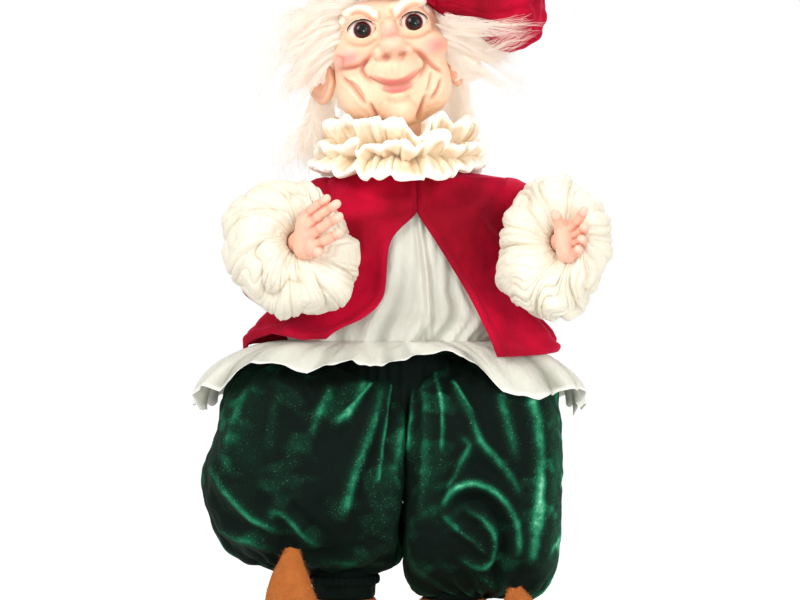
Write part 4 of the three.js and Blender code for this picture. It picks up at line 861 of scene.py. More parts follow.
def organza(name, thread, shade, cover, pearl, crease, painted_glow=0.05):
    """Thin crisp cloth: fine ribs and wrinkles, a pearly shine partly painted on, painted shade in its
    creases, a painted highlight along folded edges, a little light through it and a faint painted glow.
    """
    made, tree = new_material(name)
    tone = over(tree, grain(tree, 90, 5), srgb(*shade), srgb(*thread))
    wrinkle = grain(tree, 420, 4, (1, 1, 0.4))
    # The pearl tone is partly a painted sheen on the wrinkle crests.
    tone = over(tree, scaled(tree, wrinkle, 0.35), tone, srgb(*pearl))
    # Painted shade in the creases and a painted highlight along the folded edges, from masks kept on each
    # piece.
    tone = over(tree, scaled(tree, mask(tree, "crease"), 0.8), tone, srgb(*crease))
    tone = over(tree, scaled(tree, mask(tree, "edge"), 0.8), tone, srgb(255, 255, 248))
    # The emission is a painted glow that lightens the cloth's shade.
    principled(
        tree, tone, Roughness=0.4, Specular_IOR_Level=0.45, Alpha=cover,
        Sheen_Weight=0.2, Sheen_Roughness=0.3, Emission_Color=srgb(*thread), Emission_Strength=painted_glow,
        Normal=bumped(tree, wrinkle, 0.7),
    )
    return made


# Its crease colour is painted shade, and its glow a painted glow.
cream_organza = organza(
    "cream_organza", (246, 233, 208), (236, 214, 178), 1.0, (255, 250, 238), (216, 180, 134), 0.08,
)


def eased(value, low, high):
    """0 below low and 1 above high, with a soft start and end between them."""
    share = np.clip((value - low) / (high - low), 0, 1)
    return share * share * (3 - 2 * share)


def drift(angle, seed, waves=5):
    """Smooth, seeded wandering of a value round a ring, mostly between -1 and 1."""
    chance = np.random.default_rng(seed)
    total = 0 * angle
    for k in range(1, waves + 1):
        total = total + chance.uniform(0.4, 1) / k ** 0.5 * np.sin(k * angle + chance.uniform(0, 7))
    return total / 1.6


def thickened(piece, millimetres):
    """Gives a sheet the thickness of its cloth."""
    layer = piece.modifiers.new("thickness", "SOLIDIFY")
    layer.thickness = millimetres / 1000
    layer.offset = 0
    return piece


def ruffle(name, reach, height_at, folds, swing, throw, plump, tilt, seed):
    """A doubled strip gathered round the neck: out along its top to a soft folded edge and back
    underneath, in folds that deepen and lean over towards that edge."""
    turn = ring_angles(1080)
    way = np.linspace(0, 1, 56, endpoint=False)[None, :]
    out = 1 - np.abs(1 - 2 * way) ** 2
    layer = np.where(way < 0.5, 1, -1)
    taper = np.sqrt(1 - out ** 5)
    body = plump * layer * out ** 0.5 * taper
    ring = np.stack([50 * np.cos(turn), 50 * np.sin(turn)], -1)
    wave = wander(ring, folds, seed, 10)
    height = height_at(out, turn) + swing * out ** 1.25 * wave
    lean = throw * out ** 1.2 * wander(ring, folds, seed + 1, 10)
    inner = RUFF_BAND_R[1] + 0.4
    radius = inner + (reach - RUFF_BAND_R[1]) * out ** 0.92 * (1 + 0.05 * drift(turn, seed + 3))
    radius = radius + 2.4 * out * wander(ring, 0.8 * folds, seed + 2)
    cell = round_grid(turn, 24, 24, 5 * out + 9 * (way > 0.5))
    rolls = np.abs(wander(cell * (1, 1, 0.5), 8, seed + 5)) ** 0.7 - 0.5
    fine = np.abs(wander(cell * (1, 1, 0.4), 3.6, seed + 6)) ** 0.8 - 0.5
    body = body + layer * eased(out, 0.1, 0.5) * taper * (3.4 * rolls + 1.2 * fine)
    height = height + body * np.cos(tilt) + out ** 3 * (1.2 * rolls + 0.9 * fine)
    radius = radius - body * np.sin(tilt) + out ** 3 * (2.2 * rolls + 0.9 * fine)
    angle = turn + lean / (radius + 6)
    frill = skin(name, round_grid(angle, radius, radius, height, (NECK[0], NECK[1] - 3 * out)), "loop")
    # Painted shade in the hollows between the pleats and towards the band, and a painted highlight along the
    # folded edge.
    hollow = 1.3 * np.clip(0.05 - rolls, 0, 0.5) + np.clip(0.1 - fine, 0, 0.5)
    paint_mask(frill, "crease", hollow + 0.6 * (1 - out) ** 2)
    paint_mask(frill, "edge", eased(out, 0.9, 1.0) + 0 * turn)
    return frill


def lower_fall(out, turn):
    front_side = np.clip(-np.sin(turn), 0, 1) ** 2
    back_side = np.clip(np.sin(turn), 0, 1) ** 2
    return RUFF_FLOOR + 3.8 + 5 * out * (1 - out) - (1.5 + 10.5 * front_side + 6 * back_side) * out ** 2.2


def middle_stand(out, turn):
    return RUFF_FLOOR + 7.0 + 6 * out ** 1.5 + 0 * turn


def upper_rise(out, turn):
    notch = bell(turn - 1.5 * np.pi - 0.17, 0.15)
    return RUFF_FLOOR + 8.5 + 20 * out ** 1.5 * (1 - 0.5 * notch)


# Each ruffle: how far out it reaches, how high it stands, the size of its folds, how far they
# swing up and lean over, how plump the strip is and how far it is tilted, its seed and the nodes
# that it stands for.
RUFFLES = [
    ("ruff_lower_frill", 53, lower_fall, 14, 1.9, 3.0, 4.4, 0.0, 31, ["ruff_lower"]),
    ("ruff_middle_frill", 51, middle_stand, 14, 3.2, 3.8, 5.0, 0.3, 36, []),
    ("ruff_upper_frill", 47, upper_rise, 15, 2.2, 3.4, 5.0, 0.5, 41, ["ruff_upper"]),
]
for name, *shape, stands_for in RUFFLES:
    frill = dressed(ruffle(name, *shape), cream_organza, "cream_organza", "torso", *stands_for)

around, across = ring_angles(300), ring_angles(20).T
band_out = 1.4 * np.cos(across) + 0.3 * np.sin(44 * around) * np.clip(np.cos(across), 0, 1)
band_r = sum(RUFF_BAND_R) / 2 + band_out
band_z = RUFF_FLOOR + RUFF_BAND_HEIGHT * (0.5 + 0.48 * np.sin(across))
neck_band = skin("ruff_neck_band", round_grid(around, band_r, band_r, band_z, NECK), "loop")
dressed(neck_band, cream_organza, "cream_organza", "torso", "ruff_band")


# Blouse
# A smock of sheer cream organza in soft gathers under the jacket, with a placket down the front.
# Its skirt is cut full, sewn on at the waist, and billows over the pantaloons.

# The coat's rows: height, middle, half width and half depth.
COAT = np.array([
    (311, 3, 21, 20), (309.5, 7, 38, 25), (305.5, 13, 55, 31), (290, 13, 60, 35), (270, 11, 61, 40),
    (252, 9, 60, 43), (236, 7, 66, 44), (222, 4, 82, 47), (210, 3, 93, 51), (200, 3, 98, 55),
    (192, 3, 101, 58),
], float)
BLOUSE_TOP = 0.27
SEAM_Z = 205.5
SEAM_X = -3.5
SEAM_RADII = (60, 41)
PEPLUM_REACH = (58, 15)
PEPLUM_DROP = 42
PLACKET = [(14, 285), (17, 262), (20, 240), (21, 222), (20.5, 208)]
# Pixels of the front view on the drawing: the doll's axis, the ground and a pixel's millimetres
# there. The front of the clothes is nearer to the camera, so it is drawn in by the last share.
PHOTO_AXIS = 395
PHOTO_GROUND = 672
PHOTO_PIXEL = 0.62
VIEW_SHRINK = 0.968

# Its crease colour is painted shade.
sheer_organza = organza(
    "sheer_organza", (226, 226, 212), (196, 196, 180), 0.8, (244, 244, 236), (140, 140, 122),
)


def photo_line(*spots):
    """A line read off the front view at these pixels of 800 x 600, as width and height there."""
    px = np.array(spots, float)
    flat = np.stack([px[:, 0] - PHOTO_AXIS, PHOTO_GROUND - px[:, 1]], -1) * PHOTO_PIXEL
    return np.array(VIEW_MIDDLE) + (flat - np.array(VIEW_MIDDLE)) * VIEW_SHRINK


def coat_row(t):
    """Height, middle, half width and half depth of the coat at t, 0 at the neck and 1 at the hem."""
    at_row = np.clip(t, 0, 1) * (len(COAT) - 1)
    return [np.interp(at_row, np.arange(len(COAT)), COAT[:, k]) for k in range(4)]


def coat_at(height):
    """The place t of a height on the coat."""
    return np.interp(-np.asarray(height, float), -COAT[:, 0], np.linspace(0, 1, len(COAT)))


def squareness(angle):
    """How far a soft rectangle reaches at an angle, where an ellipse reaches 1."""
    return (np.abs(np.cos(angle)) ** 2.8 + np.abs(np.sin(angle)) ** 2.8) ** (-1 / 2.8)


turn = ring_angles(1400)
down = np.linspace(0, 1, 70)[None, :]
z, cx, a, b = coat_row(BLOUSE_TOP + (coat_at(SEAM_Z) - BLOUSE_TOP) * down)
inset = 5.2 + 6.5 * down
drawn = eased(down, 0.68, 1)
fold = 1.1 * down ** 0.7 * np.sin(31 * turn + 3 * drift(turn, 51)) * (0.7 + 0.4 * drift(2 * turn, 52))
fold = fold + 1.8 * down * np.sin(13 * turn + 1.6 * drift(turn, 55) + 1.5 * down)
wide = (a - inset) * (1 - drawn) + SEAM_RADII[0] * squareness(turn) * drawn + fold
deep = (b - inset) * (1 - drawn) + SEAM_RADII[1] * squareness(turn) * drawn + fold
middle_x = cx * (1 - drawn) + SEAM_X * drawn
blouse_grid = round_grid(turn, wide, deep, z, (middle_x, 0))
off_placket, _ = line_distance(blouse_grid[..., [0, 2]], rounded(PLACKET))
lap = 1.6 * bell(off_placket, 1.6) - 1.0 * bell(off_placket - 3.2, 1.5)
blouse_grid[..., 1] -= np.clip(-np.sin(turn), 0, 1) * lap

down = np.linspace(0, 1, 56)[None, :]
sine = np.sin(turn)
front_side = np.clip(-sine, 0, 1) ** 1.5
drop = (1 - 0.68 * front_side) * np.where(sine > 0, 1 - 0.14 * sine, 1)
phi = down * np.pi / 2 * drop
phase = 13 * turn + 1.6 * drift(turn, 55)
swell = down ** 1.1 * (3.6 * np.sin(phase) + 1.8 * np.sin(2.3 * phase + 2 * drift(2 * turn, 56)))
frilled = down ** 5 * (1.5 * np.sin(2.7 * phase + 2 * drift(turn, 57)) + 0.5 * np.sin(5.1 * phase + 1))
pinched = 0.7 * (1 - down) * np.sin(46 * turn + 3 * drift(turn, 58))
reach = [(PEPLUM_REACH[k] + swell) * np.sin(phi) + pinched for k in (0, 1)]
square = squareness(turn)
peplum_z = SEAM_Z - 0.4 - PEPLUM_DROP * (1 - np.cos(phi)) + 0.3 * swell + frilled
peplum_z = peplum_z + 0.8 * down * wander(round_grid(turn, 60, 60, 30 * down), 12, 59)
peplum_grid = round_grid(
    turn, (SEAM_RADII[0] + reach[0]) * square, (SEAM_RADII[1] + reach[1]) * square, peplum_z, (SEAM_X, 0),
)
hem_x, hem_z = photo_line(
    (180, 385), (217, 392), (235, 373), (250, 363), (272, 363), (307, 373), (332, 364), (352, 361),
    (370, 367), (386, 364), (402, 360), (420, 355), (438, 352), (453, 352), (464, 357), (477, 366),
    (490, 378), (503, 391), (519, 397), (540, 399), (559, 394), (580, 390),
).T
hem_shift = np.interp(peplum_grid[:, -1:, 0], hem_x, hem_z) - peplum_grid[:, -1:, 2]
peplum_grid[..., 2] += eased(-sine, 0.12, 0.45) * down ** 1.2 * (hem_shift + 0.45 * frilled)
peplum_grid += (blouse_grid[:, -1:] - peplum_grid[:, :1]) * ((1 - down) ** 2)[..., None]
smock = skin("blouse_smock", np.concatenate([blouse_grid, peplum_grid[:, 1:]], 1), "open")
# Painted shade in the valleys of the gathers and the skirt's folds, and a painted highlight along the hem.
furrow_shade = np.concatenate([np.clip(-fold, 0, 3) / 3, (np.clip(-swell, 0, 5) / 4 + 0 * turn)[:, 1:]], 1)
hem_highlight = np.concatenate([0 * fold, eased(down, 0.93, 1.0)[:, 1:] + 0 * turn], 1)
paint_mask(smock, "crease", furrow_shade)
paint_mask(smock, "edge", hem_highlight)
dressed(thickened(smock, 0.4), sheer_organza, "sheer_organza", "torso", "blouse_body", "peplum")


# Jacket
# Crimson velvet, cut as a back and two fronts that meet under the ruff and fall open. The edges
# are turned under and rounded, and soft folds run from the shoulder to the armhole.

JACKET_THICKNESS = 3.0
BACK_HEM_Z = 203
# The open edge of each front, as heights and places across.
OPENING = {
    "right": [
        (311, 13.5), (284, 13.5), (282, 12.5), (271, -0.5), (262, -4.7), (243, -5.4), (230, -7.1),
        (219, -19), (213, -35), (206, -43),
    ],
    "left": [(311, 12.9), (284, 12.9), (282, 14), (253.5, 33.0), (229, 47.5), (209, 57.3), (195, 62.5)],
}
# Folds pulled across the fronts from where they meet: the line in pixels of the front view, its
# height and its width.
FRONT_FOLDS = [
    ([(347, 187), (378, 201), (414, 203)], 2.2, 3.2),
    ([(342, 221), (383, 211), (413, 207)], 2.4, 4.0),
    ([(363, 293), (368, 262), (373, 236), (386, 219)], -2.4, 4.5),
    ([(287, 330), (325, 338), (352, 322), (372, 300)], 2.0, 4.0),
    ([(437, 219), (465, 209), (486, 203)], 2.2, 3.4),
    ([(442, 231), (473, 212), (490, 231), (499, 252)], 2.4, 4.0),
    ([(462, 262), (484, 300), (506, 340)], -1.6, 5.0),
    ([(500, 262), (520, 300), (540, 345)], 1.8, 6.0),
]


def jacket_panel(name, angle_at, t_at, columns, seed, stands_for):
    """A panel of velvet with a rounded edge all round: its outer face, then its lining."""
    rows = 150
    u = np.linspace(0, 1, columns)[:, None]
    v = np.linspace(0, 1, rows)[None, :]
    t = t_at(u, v)
    z, cx, a, b = coat_row(t)
    angle = angle_at(u, t)
    middle_line = JACKET_THICKNESS / 2
    edge = np.minimum(np.minimum(u, 1 - u) * 120, np.minimum(v, 1 - v) * 110)
    half = (JACKET_THICKNESS / 2 - 0.1) * np.sqrt(1 - np.clip(1 - edge / 2.4, 0, 1) ** 2) + 0.02
    shape = round_grid(angle, a - middle_line, b - middle_line, z, (cx, 0))
    swell = 0.8 * wander(shape, 34, seed) + 0.35 * wander(shape, 15, seed + 1)
    swell = swell + 1.8 * v ** 1.5 * np.sin(9 * angle + seed) + 0.9 * np.sin(5 * angle - 7 * v + seed)
    facing = np.clip(-shape[..., 1] / 12, 0, 1)
    for line, height, width in FRONT_FOLDS:
        away, fade = stroke(shape[..., [0, 2]], photo_line(*line), 0.03)
        swell = swell + facing * height * fade * bell(away, width)
    swell = swell * np.clip(edge / 6 + 0.35, 0, 1)
    swell = swell + 1.2 * bell(edge - 4, 3) - 0.9 * bell(edge - 11, 4)
    way = np.stack([np.cos(angle) / a, np.sin(angle) / b, 0.25 * v / b + 0 * u], -1)
    way = unit(way)
    outer = shape + way * (swell + half)[..., None]
    inner = shape + way * (swell - half)[..., None]
    faces = grid_faces(2 * columns, rows)
    for k in range(columns - 1):
        for row in (0, rows - 1):
            near, far = k * rows + row, (2 * columns - 2 - k) * rows + row
            ring = [near, near + rows, far, far + rows]
            faces.append(ring if row else ring[::-1])
    made = linked(name, np.concatenate([outer, inner[::-1]]).reshape(-1, 3), faces)
    return dressed(made, crimson, "crimson_velvet", "torso", stands_for)


def opening_angle(side, t):
    """Where round the coat the open edge of a front lies."""
    z, cx, a, b = coat_row(t)
    line = rounded(OPENING[side])
    x = np.interp(-z, -line[:, 0], line[:, 1])
    return -np.arccos(np.clip((x - cx) / a, -1, 1))


jacket_panel(
    "jacket_back_velvet", lambda u, t: math.radians(0.7) + math.radians(178.6) * u + 0 * t,
    lambda u, v: coat_at(BACK_HEM_Z) * v + 0 * u, 220, 71, "jacket_back",
)
jacket_panel(
    "jacket_front_right_velvet",
    lambda u, t: -math.radians(179.9) * (1 - u) + opening_angle("right", t) * u,
    lambda u, v: coat_at(np.interp(u, [0, 0.25, 0.5, 0.65, 0.85, 1], [199, 205, 210, 208.5, 206, 207])) * v,
    130, 72, "jacket_front_right",
)
jacket_panel(
    "jacket_front_left_velvet",
    lambda u, t: -math.radians(0.1) * (1 - u) + opening_angle("left", t) * u,
    lambda u, v: coat_at(198.5 - 2.5 * u) * v, 110, 73, "jacket_front_left",
)


# Sleeves
# Each sleeve is a tube of the jacket's velvet over the stuffed arm, sewn in at the armhole. It
# bends at the elbow, where the velvet creases, and ends inside the puff.

ARMS = {
    "right": {"shoulder": (-44, 4, 287), "elbow": (-80, 6, 243), "aim": (-56, -76, 265)},
    "left": {"shoulder": (71, 4, 287), "elbow": (107, 6, 243), "aim": (98, -76, 265)},
}
SHOULDER_R = 21
SLEEVE_R = 17
CUFF_R = 14.3
CUFF_AT = 54
WRIST_AT = 86


def arm_ways(side):
    """An arm's shoulder and elbow, and the ways that its upper half and its forearm point."""
    shoulder, elbow, aim = (np.array(ARMS[side][spot], float) for spot in ("shoulder", "elbow", "aim"))
    return shoulder, elbow, unit(elbow - shoulder), unit(aim - elbow)


def run_along(line):
    """How far along a line each of its points is."""
    return np.concatenate([[0], np.cumsum(np.linalg.norm(np.diff(line, axis=0), axis=1))])


def limb(line, radii, sides=24, cuts=2, flat=1.0, flat_way=(0, 0, 1), cap_rings=5):
    """A round-ended tapering tube along a line, as points and faces. Along flat_way it is thinner,
    by the share flat."""
    line = rounded(line, cuts)
    run = run_along(line)
    stops = np.linspace(0, 1, len(radii))
    reach = np.interp(run / run[-1], stops, radii)
    way = unit(np.gradient(line, axis=0))
    thin_way = unit(np.array(flat_way, float) - way * (way @ np.array(flat_way, float))[:, None], 1e-9)
    wide_way = np.cross(way, thin_way)
    tilt = np.linspace(np.pi / 2, 0, cap_rings + 1)[:-1]
    spots = [(line[0] - way[0] * reach[0] * np.sin(a), reach[0] * np.cos(a) + 0.01, 0) for a in tilt]
    spots += [(point, r, k) for k, (point, r) in enumerate(zip(line, reach))]
    end, last_r = line[-1], reach[-1]
    spots += [(end + way[-1] * last_r * np.sin(a), last_r * np.cos(a) + 0.01, -1) for a in tilt[::-1]]
    turns = ring_angles(sides)
    points = np.concatenate([
        at + wide_way[k] * r * np.cos(turns) + thin_way[k] * r * flat * np.sin(turns) for at, r, k in spots
    ])
    begun = np.arange(len(spots) - 1)[:, None] * sides
    a, b = begun + np.arange(sides), begun + (np.arange(sides) + 1) % sides
    quads = np.stack([a, b, b + sides, a + sides], -1).reshape(-1, 4).tolist()
    last = (len(spots) - 1) * sides
    return points, quads + [list(range(sides))[::-1], [last + k for k in range(sides)]]


def cast(name, parts, voxel, soften):
    """Closed forms cast together as one skin, with the joins between them softened."""
    points, faces = [], []
    for part_points, part_faces in parts:
        base = sum(len(p) for p in points)
        faces += [[base + k for k in face] for face in part_faces]
        points.append(part_points)
    made = linked(name, np.concatenate(points), faces)
    fused = made.modifiers.new("fused", "REMESH")
    fused.mode = "VOXEL"
    fused.voxel_size = voxel / 1000
    smoothed = made.modifiers.new("smoothed", "SMOOTH")
    smoothed.factor = 0.5
    smoothed.iterations = soften
    depsgraph = bpy.context.evaluated_depsgraph_get()
    made.data = bpy.data.meshes.new_from_object(made.evaluated_get(depsgraph))
    made.modifiers.clear()
    made.data.polygons.foreach_set("use_smooth", [True] * len(made.data.polygons))
    return made


def drawn_points(piece):
    """A mesh's points, back in millimetres of the drawing."""
    flat = np.empty(len(piece.data.vertices) * 3)
    piece.data.vertices.foreach_get("co", flat)
    return (flat.reshape(-1, 3) - axis_shift) * 1000


def moved_out(piece, by):
    """Moves each point of a mesh along its normal by so many millimetres."""
    flat = np.empty(len(piece.data.vertices) * 3)
    piece.data.vertices.foreach_get("normal", flat)
    points = drawn_points(piece) + flat.reshape(-1, 3) * np.asarray(by)[:, None]
    piece.data.vertices.foreach_set("co", placed(points).reshape(-1))
    piece.data.update()


for k, side in enumerate(ARMS):
    shoulder, elbow, upper_way, fore_way = arm_ways(side)
    upper_line = [shoulder, shoulder + (elbow - shoulder) * 0.45, elbow]
    upper = limb(upper_line, [SHOULDER_R - 0.6, SLEEVE_R + 1, SLEEVE_R - 0.6], 40)
    lower_line = [elbow, elbow + fore_way * 26, elbow + fore_way * (CUFF_AT - CUFF_R)]
    lower = limb(lower_line, [SLEEVE_R - 0.8, CUFF_R, CUFF_R - 0.5], 40)
    sleeve = cast(f"jacket_sleeve_{side}", [upper, lower], voxel=1.1, soften=4)
    points = drawn_points(sleeve)
    along_upper = (points - elbow) @ -upper_way
    along_fore = (points - elbow) @ fore_way
    near = bell(np.linalg.norm(points - elbow, axis=1), 30)
    crease = 1.1 * near * np.sin(0.62 * (along_upper - along_fore) + 1.3 * wander(points, 30, 80 + k))
    round_shoulder = np.arctan2(*((points - shoulder)[:, [0, 1]].T))
    crown_fold = 0.8 * bell(along_upper - 52, 12) * np.sin(7 * round_shoulder)
    moved_out(sleeve, crease + crown_fold + 0.5 * wander(points, 16, 82 + k) - 0.5)
    dressed(sleeve, crimson, "crimson_velvet", None, f"sleeve_upper_{side}", f"sleeve_lower_{side}")
    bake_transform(sleeve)


# Puffs
# A wide tube of cream organza, gathered on elastic at the wrist and sewn to the sleeve behind,
# so that it stands out in a round of soft pleats that twist into the wrist.

# The puff's outline, as radius and distance from the elbow, from inside the wrist round to the sleeve.
PUFF_PROFILE = [
    (9.5, 56), (9.5, 70), (7.8, 80), (7.6, 86.5), (9.4, 88.5), (14.5, 91), (21, 93.5), (28.5, 91), (35, 84),
    (38.0, 71.9), (36.2, 60.0), (27, 47.5), (16, 49.5),
]
PUFF_R = 38
PUFF_STEPS = 240
# Each puff: width, height, how far its rolls sweep round on the way in to the wrist, how much
# longer it is one way, which way that is, petals about its edge, petal depth, seed and how far it
# has slipped sideways.
PUFFS = {
    "right": (1.0, 1.03, 0.7, 0.07, 2.36, 5, 0.6, 91, 0),
    "left": (0.87, 1.08, -0.5, 0.05, 1.35, 7, 2.6, 95, -5.5),
}
# Its crease colour is painted shade.
puff_organza = organza(
    "puff_organza", (236, 230, 212), (224, 214, 190), 1.0, (246, 241, 228), (186, 166, 132),
)


def rolled(points, size, seed):
    """Pillows that meet in tight creases, about -0.5 to 1."""
    return np.abs(wander(points, size, seed)) ** 0.6 - 0.5


profile = rounded(PUFF_PROFILE, closed=True)
profile_run = run_along(profile)
run = np.linspace(0, profile_run[-1], PUFF_STEPS)
profile = np.stack([np.interp(run, profile_run, profile[:, k]) for k in (0, 1)], -1)
radius, ahead = profile[None, :, 0], profile[None, :, 1]
tangent = unit(np.roll(profile, -1, axis=0) - np.roll(profile, 1, axis=0))
outward = np.stack([-tangent[:, 1], tangent[:, 0]], -1)
outward *= np.sign(np.sum(outward * (profile - [24, 70]), axis=1).sum())
turn = ring_angles(900)
for side, (wide, tall, sweep, longer, long_way, petals, petal_depth, seed, slip) in PUFFS.items():
    _, elbow, _, fore_way = arm_ways(side)
    side_way = unit(np.array([1.0, 0, 0]) - fore_way[0] * fore_way)
    up_way = np.cross(side_way, fore_way)
    up_way *= np.sign(up_way[2])
    loose = eased(radius, 10.5, 30)
    swept = turn + sweep * (1 - radius / PUFF_R) * eased(ahead, 55, 80)
    swept = swept + 0.25 * drift(2 * turn + ahead / 30, seed + 4)
    cloth = round_grid(swept, 21, 21, 0.42 * run)
    big, less = rolled(cloth * (1, 1, 0.6), 23, seed), rolled(cloth * (1, 1, 0.5), 9, seed + 1)
    thin, hair_fine = rolled(cloth * (1, 1, 0.25), 3.4, seed + 2), rolled(cloth * (1, 1, 0.2), 1.7, seed + 6)
    petal = np.abs(np.sin(petals * swept / 2 + 0.8 * drift(turn, seed + 5))) ** 0.6 - 0.6
    rise = (0.3 + 5.0 * loose) * big + (0.6 + 1.3 * loose) * less + (0.35 + 0.3 * loose) * thin
    rise = rise + 0.15 * hair_fine + petal_depth * loose * petal
    around_r = radius * (1 + longer * loose * np.cos(2 * (turn - long_way))) + rise * outward[None, :, 0]
    along_s = ahead + 0.9 * rise * outward[None, :, 1] + 0.8 * loose * drift(2 * turn, seed + 3)
    aside, above = wide * around_r * np.cos(turn) + slip * loose, tall * around_r * np.sin(turn)
    grid = elbow + fore_way * along_s[..., None] + side_way * aside[..., None] + up_way * above[..., None]
    puff = skin(f"puff_cloth_{side}", grid, "loop")
    # Painted shade in the hollows between the pleats and in the opening at the wrist.
    hollow = 1.3 * np.clip(-0.1 - big, 0, 1) + 0.9 * np.clip(-0.15 - less, 0, 1)
    hollow = hollow + 0.5 * np.clip(-0.1 - thin, 0, 1) + 0.3 * np.clip(-0.1 - hair_fine, 0, 1)
    hollow = hollow + 0.6 * bell(radius - 8, 3)
    paint_mask(puff, "crease", hollow)
    dressed(puff, puff_organza, "cream_organza", f"forearm_{side}", f"puff_{side}")


# Hands
# Cast in the same resin as the head, and painted: slim fingers with nails and knuckles, and a
# wrist that plugs into the end of the arm. The right one shows its back, the left one its palm.

HANDS = {
    "right": {
        "palm": [(-52.5, -82, 262), (-51, -85, 274)],
        "across": (0.25, -0.9, 0.3),
        "pads": [((-47.5, -85.5, 262), 6.2)],
        "fingers": [
            [(-53, -84, 279), (-47, -89.5, 284.5), (-39.6, -93, 289.5)],
            [(-51, -86, 274), (-43, -92, 280.5), (-33.6, -95, 286.5)],
            [(-49, -87, 268.5), (-41, -93, 274), (-32.2, -96, 279)],
            [(-46.5, -86.5, 262.5), (-39, -92, 266), (-31.8, -95, 269.8)],
        ],
        "thumb": [(-49.5, -84, 263), (-46.5, -87.5, 259.5), (-44.5, -89.5, 258.8)],
    },
    "left": {
        "palm": [(100.5, -87, 260), (100, -84.5, 270)],
        "across": (0.55, -0.8, 0.0),
        "pads": [((97.9, -85.5, 270), 4.6), ((100.7, -86, 257.5), 4.8)],
        "fingers": [
            [(103.5, -86, 272), (107.5, -91.5, 278), (109.8, -95, 282.8)],
            [(105, -87.5, 268), (109.8, -93, 271), (109.5, -98, 273)],
            [(105, -87.5, 263.5), (109.5, -93.5, 265), (108, -98.5, 266)],
            [(103, -86.5, 259), (107.2, -92, 258.5), (106.4, -96.8, 260.2)],
        ],
        "thumb": [(98, -84, 270), (95.5, -88.5, 276), (93.4, -91, 280.6)],
    },
}
KNUCKLES = (0.36, 0.68)
FINGER_R = (3.3, 3.05, 2.6)
THUMB_R = (3.8, 3.4, 3.0)
PALM_R = 7.4
PALM_FLATNESS = 0.76

hand_paint = skin_paint.copy()
hand_paint.name = "painted_resin_hands"
for side, hand in HANDS.items():
    _, elbow, _, fore_way = arm_ways(side)
    palm_low, palm_high = (np.array(end, float) for end in hand["palm"])
    palm_middle, palm_end = (palm_low + palm_high) / 2, unit(palm_high - palm_low) * 0.6
    palm_line = [palm_low - palm_end, palm_high + palm_end]
    parts = [limb([elbow + fore_way * (WRIST_AT - 2), palm_middle], [6.9, 6.4], 24, 0)]
    parts += [limb(palm_line, [PALM_R, PALM_R], 28, 1, PALM_FLATNESS, hand["across"])]
    for middle, r in hand["pads"]:
        parts.append(limb([np.array(middle) - 0.2, np.array(middle) + 0.2], [r, r], 20, 0))
    parts += [limb([palm_middle, line[0]], [5.2, 3.3], 18, 0) for line in hand["fingers"]]
    parts += [limb(line, FINGER_R, 18) for line in hand["fingers"]]
    parts += [limb(hand["thumb"], THUMB_R, 18)]
    made = cast(f"hand_cast_{side}", parts, voxel=0.42, soften=5)
    points = drawn_points(made)
    rows = [line_distance(points, rounded(line)) for line in [*hand["fingers"], hand["thumb"]]]
    off = np.stack([away for away, _ in rows], -1)
    along = np.take_along_axis(np.stack([share for _, share in rows], -1), off.argmin(-1)[:, None], 1)[:, 0]
    nearest = np.sort(off, axis=-1)
    between = bell(nearest[:, 1] - nearest[:, 0], 1.0) * bell(nearest[:, 0], 4.2, 8)
    on_finger = bell(nearest[:, 0], 3.6, 8)
    knuckle = sum(bell(along - spot, 0.035) for spot in KNUCKLES)
    swell = sum(bell(along - spot, 0.09) for spot in (0.0, *KNUCKLES))
    moved_out(made, on_finger * (0.26 * swell - 0.3 * knuckle) - 0.35 * between + 0.1 * wander(points, 6, 99))
    facing_front = np.clip(-(points[:, 1] + 84) / 6, 0, 1)
    # Painted shade between the fingers and in the knuckle creases, and a little all over.
    paint_mask(made, "painted_shade", 1.0 * between + 0.5 * on_finger * knuckle + 0.16)
    paint_mask(made, "blush", 0.4 + 0.35 * on_finger * bell(along, 0.16))
    paint_mask(made, "brow", 0.3 * on_finger * bell(along - 0.93, 0.1, 4) * facing_front)
    dressed(made, hand_paint, "skin", f"hand_{side}", f"hand_{side}")


# Pantaloons
# Dark green crushed velvet over a stuffed lining: a seat, and two legs that balloon out and are
# gathered in again below the knee. Heavy folds sweep across the front of each leg.

HIP_Z = 145
CENTRE_Z = 118
# Each balloon: its side, the leg's axis, its lowest point, how far out it reaches at the hip and
# below, how square its outer end is at each (2 is round), and its inner end.
BALLOONS = {
    "right": {
        "sign": -1, "leg": -32, "low": 60, "hip_out": 111, "hip_round": 3,
        "out": 120, "round": 2, "inner": -4,
    },
    "left": {
        "sign": 1, "leg": 36, "low": 46, "hip_out": 101, "hip_round": 4,
        "out": 103.5, "round": 4, "inner": 5,
    },
}
BALLOON_DEPTH = 50
BALLOON_SAG = 6

green, tree = new_material("green_velvet")
lit = mask(tree, "lit")
crush = grain(tree, 45, 5)
pile = grain(tree, 330, 3)
catch = math_node(tree, "ADD", scaled(tree, crush, 1.1), scaled(tree, pile, 0.5))
catch = math_node(tree, "MULTIPLY", lit, catch)
catch = math_node(tree, "ADD", catch, scaled(tree, crush, 0.3))
GREENS = [
    (0.0, (2, 14, 9)), (0.25, (5, 36, 24)), (0.5, (12, 76, 52)), (0.8, (42, 132, 94)), (1.0, (120, 196, 160)),
]
bright = ramped(tree, math_node(tree, "SUBTRACT", catch, 0.16), GREENS)
